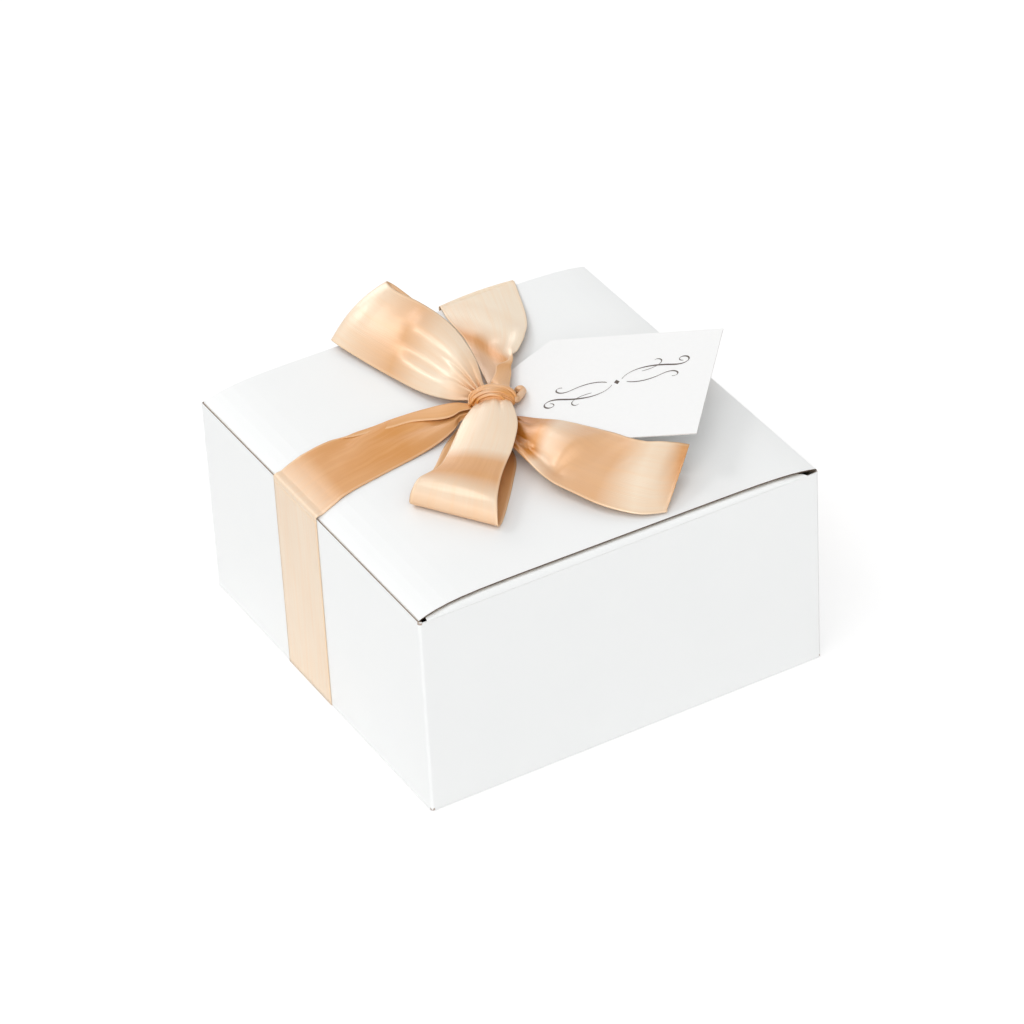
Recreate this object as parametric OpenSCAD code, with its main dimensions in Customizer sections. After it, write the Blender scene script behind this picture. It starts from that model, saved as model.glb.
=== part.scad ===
// Tuck-top favor box, tied with a satin ribbon and a bow, with a gift tag.
// Millimetres. The front is -Y, the lid hinges on the back wall, +Z is up.
// The origin is the middle of the bottom, on the surface that the box stands on.

/* [Carton] */
// Width of the carton from side to side
box_w = 204; // [190:1:220]
// Depth of the carton from front to back
box_d = 204; // [190:1:220]
// Height of the carton at the lid creases
box_h = 104; // [80:1:140]
// Thickness of the board
board_t = 0.6; // [0.5:0.05:0.8]
// Outer radius of the upright folds between the walls
fold_r = 1.5; // [1:0.1:2.5]
// Width of the glue tab inside the back left corner
glue_tab_w = 22; // [15:1:30]

/* [Lid] */
// How far the closed lid springs up between its creases
lid_rise = 4.8; // [4:0.2:6]
// Outer radius of the two lid creases
crease_r = 1.4; // [1.2:0.1:1.8]
// Length of the tuck flap
tuck_len = 26; // [18:1:28]
// Inward lean of the closed tuck flap, in degrees
tuck_lean = 7; // [6.5:0.5:9]
// Radius of the free corners of the tuck flap
tuck_corner_r = 12; // [6:1:16]
// Reach of each dust flap under the lid
dust_len = 66; // [40:1:75]
// Outer radius of the soft shoulder of a dust flap
shoulder_r = 1.6; // [1.3:0.1:2]
// Gap between the lid and the shoulder of a dust flap
shoulder_gap = 1.2; // [0.8:0.1:1.6]
// Downward slope of a closed dust flap, in degrees
dust_slope = 0.5; // [0:0.1:1]

/* [Snap-lock bottom] */
// Width of the tongue of the front bottom flap
tongue_w = 76; // [50:1:90]
// Length of the tongue past its ramp
tongue_len = 26; // [15:1:40]
// Length of the ramp that lifts the tongue through the lock
tongue_ramp = 12; // [8:1:16]

/* [Ribbon] */
// Width of the ribbon
ribbon_w = 40; // [38:0.5:42]
// Thickness of the ribbon
ribbon_t = 0.3; // [0.2:0.05:0.35]
// Sideways place of the ribbon's middle on the carton
ribbon_x = -10; // [-14:1:-6]

/* [Bow] */
// Sideways place of the knot
knot_x = -8; // [-11:1:-5]
// Front to back place of the knot, zero at the middle
knot_y = -1; // [-4:1:2]
// Width of the knot across the bow
knot_w = 21; // [19:0.5:23]
// Height of the knot
knot_h = 8.5; // [7.5:0.5:10]
// Length of the wrap along the knot
wrap_len = 8; // [7:0.5:10]
// Length of the tail that hangs past the left edge of the lid
tail_drop = 24; // [15:1:35]
// Gap between the hanging tail and the left wall
tail_gap = 1.6; // [1.4:0.1:3]

/* [Tag] */
// Width of the tag
tag_w = 89; // [86:0.5:90]
// Length of the tag
tag_len = 99; // [94:1:104]
// Thickness of the tag card
tag_t = 0.5; // [0.3:0.05:0.6]
// Clip of each corner across the tag
clip_w = 30; // [24:1:34]
// Clip of each corner along the tag
clip_len = 18; // [14:1:22]
// Radius of the hole in the tag
hole_r = 2.5; // [2.2:0.1:3.5]
// Distance of the hole from the tag's near end
hole_inset = 9; // [7:0.5:10]
// Radius of the strand that hangs the tag
strand_r = 1.8; // [1.4:0.1:2]

/* [Hidden] */

board_white = [0.94, 0.95, 0.95];
satin = [0.93, 0.76, 0.58];
card_white = [0.98, 0.98, 0.98];

// One overrun for every cut, and the sides of a full round
cut = 1;
round_fn = 48;

// Gap between the ribbon and the carton that it slides off
wrap_gap = 0.15;
// Gap between the lid's flaps or the bow and what they lie against
seat_gap = 0.3;
// Gap at a crease that parts two moving panels
crease_gap = 0.1;
// Set-back of the lid's side edges, so that the lid goes between the upright folds
lid_inset = fold_r + crease_gap;

half_w = box_w / 2;
half_d = box_d / 2;
inner_w = half_w - board_t;
inner_d = half_d - board_t;
// Clear of the upright folds' inside
corner_clear = fold_r - board_t + crease_gap;
// The carton stands on the ribbon that runs under it
base_z = ribbon_t + crease_gap;

// Carton: heights of the wall tops
front_drop_in = 0.4;
front_top = box_h - front_drop_in;
lid_crease_z = box_h - crease_r;
back_top = lid_crease_z - crease_gap;
dust_crease_drop = 1.1;
dust_crease_z = box_h - dust_crease_drop;
side_top = dust_crease_z - crease_gap;

// Glue tab: ends and chamfers
tab_low = base_z + 4 * board_t + seat_gap;
tab_top_drop = 7;
tab_chamfer = 9;

// Lid: crown between the creases, higher near the front
crease_turn = 70;
crease_steps = 7;
crown_steps = 12;
crown_power = 8;
crown_skew_share = 0.35;
lid_front_y = -inner_d + seat_gap;
front_arc_y = lid_front_y + crease_r;
back_arc_y = half_d - crease_r;
crown_y0 = front_arc_y - crease_r * cos(crease_turn);
crown_y1 = back_arc_y + crease_r * cos(crease_turn);
crown_base = lid_crease_z + crease_r * sin(crease_turn);

function crown_s(y) = (2 * y - crown_y0 - crown_y1) / (crown_y1 - crown_y0);
function crown_y(s) = (crown_y0 + crown_y1 + s * (crown_y1 - crown_y0)) / 2;
function lid_z(y) =
    let (s = min(1, abs(crown_s(y))), lean = 1 - crown_skew_share * (crown_s(y) + 1) / 2)
    crown_base + lid_rise * (1 - pow(s, crown_power)) * lean;

// Tuck flap
tuck_side_gap = 3;

// Dust flaps: plan shape at the fold and at the free end, and the least rise of the shoulder
dust_front_gap = 4;
dust_back_gap = 6;
dust_front_taper = 12;
shoulder_least = 0.7;
shoulder_rows = 12;

// Snap-lock bottom: how the flaps share the floor
lock_front_share = 0.46;
lock_back_share = 0.62;
lock_slot_share = 0.53;
lock_side_gap = 3;
lock_taper = 40;

// Ribbon: faces of the drop and of the rise, and where the lid's part starts
drop_y = half_d + wrap_gap;
split_z = lid_crease_z - crease_gap;
hinge_z = lid_crease_z - crease_gap / 2;
rise_clear = 1;

// Bow: the knot's base point on the lid
knot_base = [knot_x, knot_y, lid_z(knot_y)];
left_run = half_w + knot_x;
right_run = half_w - knot_x;

// Tag: its hole, its heading over the lid, its pitch and its roll
hole_dx = -8;
hole_dy = 16.4;
hole_dz = 3.7;
tag_heading = 50.5;
tag_pitch = 8.2;
tag_roll = -1.9;
hole_at = knot_base + [hole_dx, hole_dy, hole_dz];

function turn_x(v, a) = [v[0], v[1] * cos(a) - v[2] * sin(a), v[1] * sin(a) + v[2] * cos(a)];
function turn_y(v, a) = [v[0] * cos(a) + v[2] * sin(a), v[1], -v[0] * sin(a) + v[2] * cos(a)];
function turn_z(v, a) = [v[0] * cos(a) - v[1] * sin(a), v[0] * sin(a) + v[1] * cos(a), v[2]];
tag_up = turn_z(turn_y(turn_x([0, 0, 1], tag_roll), -tag_pitch), tag_heading);

// Height of the tag's middle plane over a point of the lid
function tag_z(x, y) =
    hole_at[2] - (tag_up[0] * (x - hole_at[0]) + tag_up[1] * (y - hole_at[1])) / tag_up[2];

// Smooth curve through stations of any number of values
function spline(p, q, r, s, t) =
    (2 * q + (r - p) * t + (2 * p - 5 * q + 4 * r - s) * t * t + (3 * q - p - 3 * r + s) * t * t * t) / 2;
function station(rows, i) = rows[max(0, min(len(rows) - 1, i))];
function smooth(rows, n) = concat(
    [for (i = [0:len(rows) - 2]) for (k = [0:n - 1])
        spline(station(rows, i - 1), rows[i], rows[i + 1], station(rows, i + 2), k / n)],
    [rows[len(rows) - 1]]);

function unit(v) = norm(v) > 0 ? v / norm(v) : v;
function left_of(row) = [row[0], row[1], row[2]];
function right_of(row) = [row[3], row[4], row[5]];

// A ribbon edge point in ribbon widths from the knot, kept off the lid
function over_lid(p) = [p[0], p[1], max(p[2], lid_z(p[1]) + seat_gap + ribbon_t)];
function bow_row(s, reach) = let (
    a = knot_base + [s[0] * reach, s[1] * ribbon_w, s[2] * ribbon_w],
    b = knot_base + [s[3] * reach, s[4] * ribbon_w, s[5] * ribbon_w])
    concat(over_lid(a), over_lid(b));

// Ribbon widths across which the bow's edges are set
across_steps = 4;
bulge_share = 0.3;
bulge_max_share = 0.1;

function bulge(c) =
    min(bulge_max_share * ribbon_w, bulge_share * c, sqrt(3 * c * max(0, ribbon_w - c) / 8));

// Middle surface of a strip between two edges, crowned where it faces up
function strip_grid(rows, side) = [for (i = [0:len(rows) - 1]) let (
        a = left_of(rows[i]), b = right_of(rows[i]),
        before = station(rows, i - 1), after = station(rows, i + 1),
        along = left_of(after) + right_of(after) - left_of(before) - right_of(before),
        up = side * unit(cross(along, b - a)), h = bulge(norm(b - a)) * max(0, up[2]))
    [for (j = [0:across_steps]) let (s = j / across_steps) a + (b - a) * s + up * h * 4 * s * (1 - s)]];

// Closed solid between two grids of points, n rows of m, the top one on the left of its rows
module skin(top, low, n, m, col) {
    k = n * m;
    faces = concat(
        [for (i = [0:n - 2]) for (j = [0:m - 2]) each [
            [i * m + j, i * m + j + 1, (i + 1) * m + j],
            [i * m + j + 1, (i + 1) * m + j + 1, (i + 1) * m + j],
            [k + i * m + j, k + (i + 1) * m + j, k + i * m + j + 1],
            [k + i * m + j + 1, k + (i + 1) * m + j, k + (i + 1) * m + j + 1]]],
        [for (i = [0:n - 2]) each [
            [i * m, (i + 1) * m, k + i * m],
            [(i + 1) * m, k + (i + 1) * m, k + i * m],
            [i * m + m - 1, k + i * m + m - 1, (i + 1) * m + m - 1],
            [(i + 1) * m + m - 1, k + i * m + m - 1, k + (i + 1) * m + m - 1]]],
        [for (j = [0:m - 2]) each [
            [j, k + j, j + 1],
            [j + 1, k + j, k + j + 1],
            [(n - 1) * m + j, (n - 1) * m + j + 1, k + (n - 1) * m + j],
            [(n - 1) * m + j + 1, k + (n - 1) * m + j + 1, k + (n - 1) * m + j]]]);
    color(col) polyhedron(points = concat(top, low), faces = faces, convexity = 6);
}

// Closed thin solid around a grid of points
module sheet_solid(grid, t, col) {
    n = len(grid);
    m = len(grid[0]);
    normals = [for (i = [0:n - 1]) [for (j = [0:m - 1])
        unit(cross(grid[min(n - 1, i + 1)][j] - grid[max(0, i - 1)][j],
                   grid[i][min(m - 1, j + 1)] - grid[i][max(0, j - 1)]))]];
    skin([for (i = [0:n - 1]) for (j = [0:m - 1]) grid[i][j] + normals[i][j] * t / 2],
         [for (i = [0:n - 1]) for (j = [0:m - 1]) grid[i][j] - normals[i][j] * t / 2], n, m, col);
}

module strip(rows, side) {
    sheet_solid(strip_grid(rows, side), ribbon_t, satin);
}

// Plan of one wall: a straight run and the upright fold at its far end
module wall_plan(run) {
    translate([fold_r, 0]) square([run - 2 * fold_r, board_t]);
    translate([run - fold_r, fold_r]) intersection() {
        difference() {
            circle(r = fold_r, $fn = round_fn);
            circle(r = fold_r - board_t, $fn = round_fn);
        }
        translate([0, -fold_r - cut]) square([fold_r + cut, fold_r + cut]);
    }
}

module wall(run, top) {
    color(board_white) linear_extrude(height = top - base_z) wall_plan(run);
}

module front_wall() {
    translate([-half_w, -half_d, base_z]) wall(box_w, front_top);
}

module right_wall() {
    translate([half_w, -half_d, base_z]) rotate([0, 0, 90]) wall(box_d, side_top);
}

module back_wall() {
    translate([half_w, half_d, base_z]) rotate([0, 0, 180]) wall(box_w, back_top);
}

module left_wall() {
    translate([-half_w, half_d, base_z]) rotate([0, 0, -90]) wall(box_d, side_top);
}

// Profile drawn in Y and Z, extruded along X about the middle
module along_x(width) {
    rotate([90, 0, 90]) linear_extrude(height = width, center = true) children();
}

// Profile drawn in X and Z, extruded along Y about the middle
module along_y(width) {
    rotate([90, 0, 0]) linear_extrude(height = width, center = true) children();
}

module glue_tab() {
    tab_top = box_h - tab_top_drop;
    color(board_white) translate([-inner_w + board_t / 2, 0, 0]) along_x(board_t)
        polygon([
            [inner_d - corner_clear, tab_low], [inner_d - corner_clear, tab_top],
            [inner_d - glue_tab_w, tab_top - tab_chamfer], [inner_d - glue_tab_w, tab_low + tab_chamfer]
        ]);
}

// Front bottom flap, the outermost layer, with the tongue that rises through the lock
module bottom_front_flap() {
    edge_y = -inner_d + 2 * inner_d * lock_front_share;
    tongue_z = base_z + 3 * board_t;
    ramp_y = edge_y + tongue_ramp;
    color(board_white) {
        translate([0, 0, base_z]) linear_extrude(height = board_t) polygon([
            [-inner_w + corner_clear, -inner_d], [inner_w - corner_clear, -inner_d],
            [inner_w - lock_side_gap - lock_taper * lock_front_share, edge_y],
            [-inner_w + lock_side_gap + lock_taper * lock_front_share, edge_y]
        ]);
        along_x(tongue_w) polygon([
            [edge_y, base_z], [ramp_y, tongue_z], [ramp_y + tongue_len, tongue_z],
            [ramp_y + tongue_len, tongue_z + board_t], [ramp_y, tongue_z + board_t],
            [edge_y, base_z + board_t]
        ]);
    }
}

// Back bottom flap, the inner layer, with the recess that the tongue comes through
module bottom_back_flap() {
    edge_y = inner_d - 2 * inner_d * lock_back_share;
    slot_y = -inner_d + 2 * inner_d * lock_slot_share;
    slot_x = tongue_w / 2 + lock_side_gap;
    taper = lock_taper * lock_back_share;
    color(board_white) translate([0, 0, base_z + 2 * board_t]) linear_extrude(height = board_t)
        polygon([
            [inner_w - corner_clear, inner_d], [-inner_w + corner_clear, inner_d],
            [-inner_w + taper, edge_y],
            [-slot_x, edge_y], [-slot_x, slot_y], [slot_x, slot_y], [slot_x, edge_y],
            [inner_w - taper, edge_y]
        ]);
}

// Side bottom flap, the middle layer
module bottom_side_flap() {
    reach = inner_w - tongue_w / 2 - 2 * lock_side_gap;
    color(board_white) translate([0, 0, base_z + board_t]) linear_extrude(height = board_t)
        polygon([
            [inner_w, -inner_d + lock_side_gap], [inner_w, inner_d - lock_side_gap],
            [inner_w - reach, inner_d - lock_taper], [inner_w - reach, -inner_d + lock_taper]
        ]);
}

module bottom_right_flap() {
    bottom_side_flap();
}

module bottom_left_flap() {
    mirror([1, 0, 0]) bottom_side_flap();
}

// Outline of the lid from the front crease over the crown to the back crease
lid_line = concat(
    [for (k = [0:crease_steps - 1]) let (a = crease_turn * k / crease_steps)
        [front_arc_y - crease_r * cos(a), lid_crease_z + crease_r * sin(a)]],
    [for (k = [-crown_steps:crown_steps]) let (y = crown_y(sin(90 * k / crown_steps))) [y, lid_z(y)]],
    [for (k = [crease_steps - 1:-1:0]) let (a = crease_turn * k / crease_steps)
        [back_arc_y + crease_r * cos(a), lid_crease_z + crease_r * sin(a)]]);

// The same line set in by a distance
function inset_line(line, d) = [for (i = [0:len(line) - 1])
    let (v = station(line, i + 1) - station(line, i - 1), u = v / norm(v)) line[i] + d * [u[1], -u[0]]];
function reversed(line) = [for (i = [len(line) - 1:-1:0]) line[i]];

module lid_panel() {
    color(board_white) along_x(box_w - 2 * lid_inset)
        polygon(concat(lid_line, reversed(inset_line(lid_line, board_t))));
}

module tuck_flap() {
    w = 2 * (inner_w - tuck_side_gap);
    r = tuck_corner_r;
    color(board_white) translate([0, lid_front_y, split_z]) rotate([tuck_lean, 0, 0])
        translate([0, board_t, -crease_gap]) rotate([90, 0, 0]) linear_extrude(height = board_t) {
            translate([-w / 2, -tuck_len + r]) square([w, tuck_len - r]);
            translate([-w / 2 + r, -tuck_len]) square([w - 2 * r, r]);
            for (side = [-1, 1]) translate([side * (w / 2 - r), -tuck_len + r])
                circle(r = r, $fn = round_fn);
        }
}

// Dust flap on the right: a soft shoulder that follows the lid's crown, then the flap
function shoulder_rise(y) = max(shoulder_least, lid_z(y) - board_t - shoulder_gap - dust_crease_z);
function dust_y(in, t) = let (
    front = -half_d + dust_front_gap + in * tan(dust_front_taper),
    back = half_d - dust_back_gap - in)
    front + (back - front) * t;

// Grid of one face of the flap, set in by a distance from the outer face
function dust_grid(d) = [for (i = [0:shoulder_rows]) let (t = (1 - cos(180 * i / shoulder_rows)) / 2)
    each concat(
        [for (k = [0:crease_steps]) let (
                a = 90 * k / crease_steps, in = shoulder_r * (1 - cos(a)), y = dust_y(in, t))
            [half_w - shoulder_r + (shoulder_r - d) * cos(a), y,
             dust_crease_z + (shoulder_rise(y) - d) * sin(a)]],
        [let (y = dust_y(dust_len, t), fall = (dust_len - shoulder_r) * tan(dust_slope))
            [half_w - dust_len, y, dust_crease_z + shoulder_rise(y) - d - fall]])];

module dust_flap() {
    skin(dust_grid(0), dust_grid(board_t), shoulder_rows + 1, crease_steps + 2, board_white);
}

module dust_flap_right() {
    dust_flap();
}

module dust_flap_left() {
    mirror([1, 0, 0]) dust_flap();
}

module ribbon_front_drop() {
    color(satin) translate([ribbon_x - ribbon_w / 2, -drop_y - ribbon_t, 0])
        cube([ribbon_w, ribbon_t, split_z - wrap_gap]);
}

module ribbon_bottom_run() {
    color(satin) translate([ribbon_x - ribbon_w / 2, -drop_y, 0])
        cube([ribbon_w, 2 * drop_y, ribbon_t]);
}

module ribbon_back_rise() {
    color(satin) translate([ribbon_x - ribbon_w / 2, drop_y, 0])
        cube([ribbon_w, ribbon_t, hinge_z - rise_clear]);
}

// Ribbon row across the carton at one place of the lid
function flat_row(y, z) = [ribbon_x - ribbon_w / 2, y, z, ribbon_x + ribbon_w / 2, y, z];
ribbon_lift = seat_gap + ribbon_t / 2;
run_shares = [0.985, 0.968, 0.945];
back_run_end_shares = [0.915, 0.875, 0.82];

front_edge_rows = concat(
    [for (z = [split_z, box_h - ribbon_t]) flat_row(-drop_y - ribbon_t / 2, z)],
    [flat_row(-half_d, box_h + ribbon_lift), flat_row(lid_front_y, box_h + 2 * ribbon_lift)],
    [for (s = run_shares) flat_row(crown_y(-s), lid_z(crown_y(-s)) + ribbon_lift)]);

// Front run near the knot, gathered: both edges in ribbon widths from the knot
front_run_shares = [
    [-0.61, -2.12, 0, 0.37, -2.14, 0],
    [-0.63, -1.90, 0.01, 0.33, -1.94, 0.01],
    [-0.63, -1.62, 0.02, 0.29, -1.68, 0.02],
    [-0.60, -1.30, 0.03, 0.24, -1.40, 0.02],
    [-0.57, -0.96, 0.05, 0.19, -1.10, 0.03],
    [-0.49, -0.62, 0.09, 0.13, -0.80, 0.05],
    [-0.36, -0.34, 0.14, 0.04, -0.54, 0.08],
    [-0.26, -0.22, 0.15, -0.06, -0.38, 0.10]
];

module ribbon_front_run() {
    strip(concat(front_edge_rows, smooth([for (s = front_run_shares) bow_row(s, ribbon_w)], 2)), -1);
}

back_edge_rows = concat(
    [for (a = [10, 35, 60]) let (r = crease_r + ribbon_lift)
        flat_row(back_arc_y + r * cos(a), lid_crease_z + r * sin(a))],
    [for (s = concat(run_shares, back_run_end_shares))
        flat_row(crown_y(s), lid_z(crown_y(s)) + ribbon_lift)]);

// Back run near the knot, flat under the tag
back_run_shares = [
    [-0.55, 1.50, 0, 0.45, 1.50, 0],
    [-0.50, 1.00, 0, 0.40, 1.00, 0],
    [-0.42, 0.60, 0, 0.30, 0.60, 0],
    [-0.34, 0.30, 0, 0.20, 0.30, 0]
];

module ribbon_back_run() {
    strip(concat(back_edge_rows, [for (s = back_run_shares) bow_row(s, ribbon_w)]), 0);
}

// Left loop: out over the top, round the far fold and back along the lid
loop_left_shares = [
    [-0.24, 0.06, 0.25, -0.22, -0.08, 0.17],
    [-0.35, 0.08, 0.28, -0.30, -0.15, 0.15],
    [-0.72, 0.18, 0.40, -0.49, -0.32, 0.12],
    [-1.25, 0.21, 0.50, -0.85, -0.48, 0.09],
    [-1.75, 0.10, 0.58, -1.41, -0.62, 0.08],
    [-2.15, -0.03, 0.60, -2.02, -0.76, 0.09],
    [-2.38, -0.02, 0.58, -2.29, -0.81, 0.10],
    [-2.45, 0.05, 0.52, -2.37, -0.78, 0.07],
    [-2.35, 0.13, 0.45, -2.28, -0.70, 0.04],
    [-2.00, 0.21, 0.38, -1.95, -0.58, 0.03],
    [-1.55, 0.27, 0.32, -1.45, -0.44, 0.03],
    [-1.05, 0.25, 0.25, -0.95, -0.30, 0.03],
    [-0.60, 0.14, 0.17, -0.55, -0.16, 0.04],
    [-0.30, 0.03, 0.13, -0.28, -0.08, 0.10]
];

module bow_loop_left() {
    strip(smooth([for (s = loop_left_shares) bow_row(s, ribbon_w)], 2), 1);
}

// Front loop: it lies low, with its eye open to the right
loop_front_shares = [
    [0.04, -0.22, 0.19, 0.18, -0.04, 0.21],
    [0.15, -0.40, 0.22, 0.45, -0.01, 0.25],
    [0.43, -0.70, 0.24, 0.90, -0.24, 0.27],
    [0.70, -1.12, 0.26, 1.28, -0.61, 0.28],
    [0.86, -1.43, 0.25, 1.62, -0.87, 0.25],
    [0.95, -1.58, 0.19, 1.82, -0.99, 0.18],
    [0.99, -1.64, 0.10, 1.90, -1.04, 0.09],
    [0.94, -1.57, 0.03, 1.84, -0.97, 0.03],
    [0.78, -1.37, 0.02, 1.64, -0.79, 0.02],
    [0.44, -0.98, 0.02, 1.21, -0.45, 0.02],
    [0.20, -0.62, 0.02, 0.83, -0.19, 0.02],
    [0.06, -0.38, 0.03, 0.42, -0.12, 0.03],
    [0.05, -0.26, 0.07, 0.22, -0.14, 0.05]
];

module bow_loop_front() {
    strip(smooth([for (s = loop_front_shares) bow_row(s, ribbon_w)], 2), 1);
}

// Left tail: over the lid to its left edge, in shares of the run there and of the ribbon
tail_left_shares = [
    [-0.10, 0.18, 0.20, -0.03, 0.24, 0.20],
    [-0.21, 0.20, 0.16, -0.10, 0.34, 0.17],
    [-0.50, 0.42, 0.07, -0.32, 0.70, 0.11],
    [-0.69, 0.53, 0.03, -0.50, 1.10, 0.06],
    [-0.86, 0.57, 0.02, -0.66, 1.34, 0.03],
    [-0.97, 0.62, 0.02, -0.95, 1.60, 0.01]
];

// Rows of the part that hangs: outward, down and sideways, with the free end last
function hang_row(out, down, lean) = let (
    x = -half_w - out, z = lid_z(knot_y + ribbon_w) - down)
    [x, knot_y + (0.64 + lean) * ribbon_w, z, x, knot_y + (1.63 + lean) * ribbon_w, z];

module bow_tail_left() {
    rows = concat(
        [for (s = tail_left_shares) bow_row(s, left_run)],
        [hang_row(ribbon_lift, -2 * ribbon_lift, 0), hang_row(tail_gap, 2 * ribbon_lift, 0)],
        [for (k = [1:3]) hang_row(tail_gap + ribbon_t * k, tail_drop * k / 3, 0.02 * k)]);
    strip(smooth(rows, 2), -1);
}

// Right tail: its upper edge lies on the tag, then both edges reach the lid's right edge
tail_right_shares = [
    [0.09, 0.10, 0.15, 0.09, -0.05, 0.13],
    [0.16, 0.26, 0.18, 0.18, -0.17, 0.14],
    [0.28, 0.48, 0.23, 0.34, -0.22, 0.14],
    [0.49, 0.73, 0.32, 0.54, -0.24, 0.17],
    [0.64, 0.90, 0.38, 0.68, -0.10, 0.15],
    [0.69, 1.14, 0.34, 0.81, 0.08, 0.10],
    [0.72, 1.30, 0.31, 0.92, 0.36, 0.05],
    [0.73, 1.36, 0.29, 0.96, 0.66, 0.02]
];
tail_on_tag = 5;

function on_tag(row) = let (a = left_of(row), lift = tag_t / 2 + seat_gap + ribbon_t)
    [a[0], a[1], max(a[2], tag_z(a[0], a[1]) + lift), row[3], row[4], row[5]];

module bow_tail_right() {
    rows = [for (s = tail_right_shares) bow_row(s, right_run)];
    laid = [for (i = [0:len(rows) - 1]) i < tail_on_tag ? on_tag(rows[i]) : rows[i]];
    strip(smooth(laid, 2), -1);
}

// Knot: a gathered core through a wrap, lying across the bow over the tag's near end
knot_heading = -35;
knot_lift = tag_t / 2 + 2 * seat_gap;
core_share = 0.62;
core_fit_share = 0.04;
core_over = 1;
wrap_ridges = 3;
ridge_share = 0.12;
knot_z = tag_z(knot_x, knot_y) + knot_lift + knot_h / 2;

// Outline of the wrap in radius share and place along the knot, with ridges round it
wrap_outline = let (steps = 4 * wrap_ridges) concat(
    [[core_share, -wrap_len / 2]],
    [for (k = [0:steps]) let (s = k / steps)
        [1 - ridge_share * (1 - cos(360 * s * wrap_ridges)) / 2 - ridge_share * pow(2 * s - 1, 4),
         wrap_len * (s - 0.5)]],
    [[core_share, wrap_len / 2]]);
wrap_sides = 32;

module knot_wrap() {
    m = len(wrap_outline);
    color(satin) translate([knot_x, knot_y, knot_z]) rotate([0, 0, knot_heading]) polyhedron(
        points = [for (i = [0:wrap_sides - 1]) let (a = 360 * i / wrap_sides) for (p = wrap_outline)
            [p[1], p[0] * cos(a) * knot_w / 2, p[0] * sin(a) * knot_h / 2]],
        faces = [for (i = [0:wrap_sides - 1]) let (n = (i + 1) % wrap_sides) for (j = [0:m - 1])
            let (k = (j + 1) % m) each [
                [i * m + j, i * m + k, n * m + j], [i * m + k, n * m + k, n * m + j]]],
        convexity = 6);
}

module knot_core() {
    r = core_share - core_fit_share;
    color(satin) translate([knot_x, knot_y, knot_z]) rotate([0, 0, knot_heading])
        scale([1, knot_w / 2, knot_h / 2]) rotate([0, 90, 0])
            cylinder(r = r, h = wrap_len + 2 * core_over, center = true, $fn = 24);
}

// Strand from the knot's flank that curls over and goes down through the tag's hole
strand_sides = 8;
strand_reach = 5.5;
strand_over = 4.2;
strand_end = 1.5;
strand_back = 1;
strand_gap = 1.3;
strand_bend_share = 0.86;

module tag_hanger() {
    knot_mid = [knot_x, knot_y, knot_z];
    flank = turn_z([0, 1, 0], knot_heading);
    start = knot_mid + (knot_w / 2 + strand_gap) * flank
        - strand_back * turn_z([1, 0, 0], knot_heading);
    stations = [
        start,
        hole_at + strand_reach * turn_z([1, 0, 0], -knot_heading - 10) + strand_over * tag_up,
        hole_at + strand_r * turn_z([1, 0, 0], -knot_heading - 10)
            + strand_bend_share * strand_over * tag_up,
        hole_at + strand_r / 3 * tag_up,
        hole_at - strand_end * tag_up
    ];
    path = smooth(stations, 3);
    n = len(path) - 1;
    m = strand_sides;
    rings = [for (i = [0:n]) let (
            d = unit(station(path, i + 1) - station(path, i - 1)),
            u = unit(cross(d, turn_z([0, 1, 0], -knot_heading - 10))), v = cross(d, u))
        [for (j = [0:m - 1]) let (a = 360 * j / m) path[i] + strand_r * (u * cos(a) + v * sin(a))]];
    color(satin) polyhedron(
        points = [for (r = rings) each r],
        faces = concat(
            [for (i = [0:n - 1]) for (j = [0:m - 1]) let (k = (j + 1) % m) each [
                [i * m + j, (i + 1) * m + j, i * m + k], [i * m + k, (i + 1) * m + j, (i + 1) * m + k]]],
            [[for (j = [0:m - 1]) j]], [[for (j = [m - 1:-1:0]) n * m + j]]));
}

module tag_card() {
    near = -hole_inset;
    far = tag_len - hole_inset;
    color(card_white) translate(hole_at) rotate([0, 0, tag_heading]) rotate([0, -tag_pitch, 0])
        rotate([tag_roll, 0, 0]) translate([0, 0, -tag_t / 2]) linear_extrude(height = tag_t)
            difference() {
                polygon([
                    [near, -tag_w / 2 + clip_w], [near + clip_len, -tag_w / 2], [far, -tag_w / 2],
                    [far, tag_w / 2], [near + clip_len, tag_w / 2], [near, tag_w / 2 - clip_w]
                ]);
                circle(r = hole_r, $fn = round_fn);
            }
}

front_wall();
back_wall();
left_wall();
right_wall();
glue_tab();
bottom_front_flap();
bottom_back_flap();
bottom_left_flap();
bottom_right_flap();
lid_panel();
tuck_flap();
dust_flap_left();
dust_flap_right();
ribbon_front_drop();
ribbon_bottom_run();
ribbon_back_rise();
ribbon_front_run();
ribbon_back_run();
bow_loop_left();
bow_loop_front();
bow_tail_left();
bow_tail_right();
knot_core();
knot_wrap();
tag_hanger();
tag_card();
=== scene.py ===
"""Favor box: a white tuck-top carton tied with a satin ribbon, with a tag under the knot.

Tables and paths are in millimetres, as in the CAD source, and meshes are in metres.
The front is -Y, the lid hinges on the back wall and +Z is up.
"""

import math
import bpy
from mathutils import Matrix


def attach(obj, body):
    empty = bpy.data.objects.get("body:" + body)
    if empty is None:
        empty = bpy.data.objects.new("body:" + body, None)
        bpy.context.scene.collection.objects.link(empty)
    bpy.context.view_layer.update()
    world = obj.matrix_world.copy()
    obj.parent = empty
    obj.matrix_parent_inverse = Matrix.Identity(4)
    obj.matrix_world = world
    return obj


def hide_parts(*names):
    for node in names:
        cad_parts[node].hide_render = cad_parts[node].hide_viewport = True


bl_info = {
    "name": "Favor Box",
    "version": (1, 0, 0),
    "blender": (4, 0, 0),
    "location": "View3D > Sidebar > Favor Box",
    "description": "Finishes, ribbon, tag ornament and stage of the favor box",
    "category": "Object",
}

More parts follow.
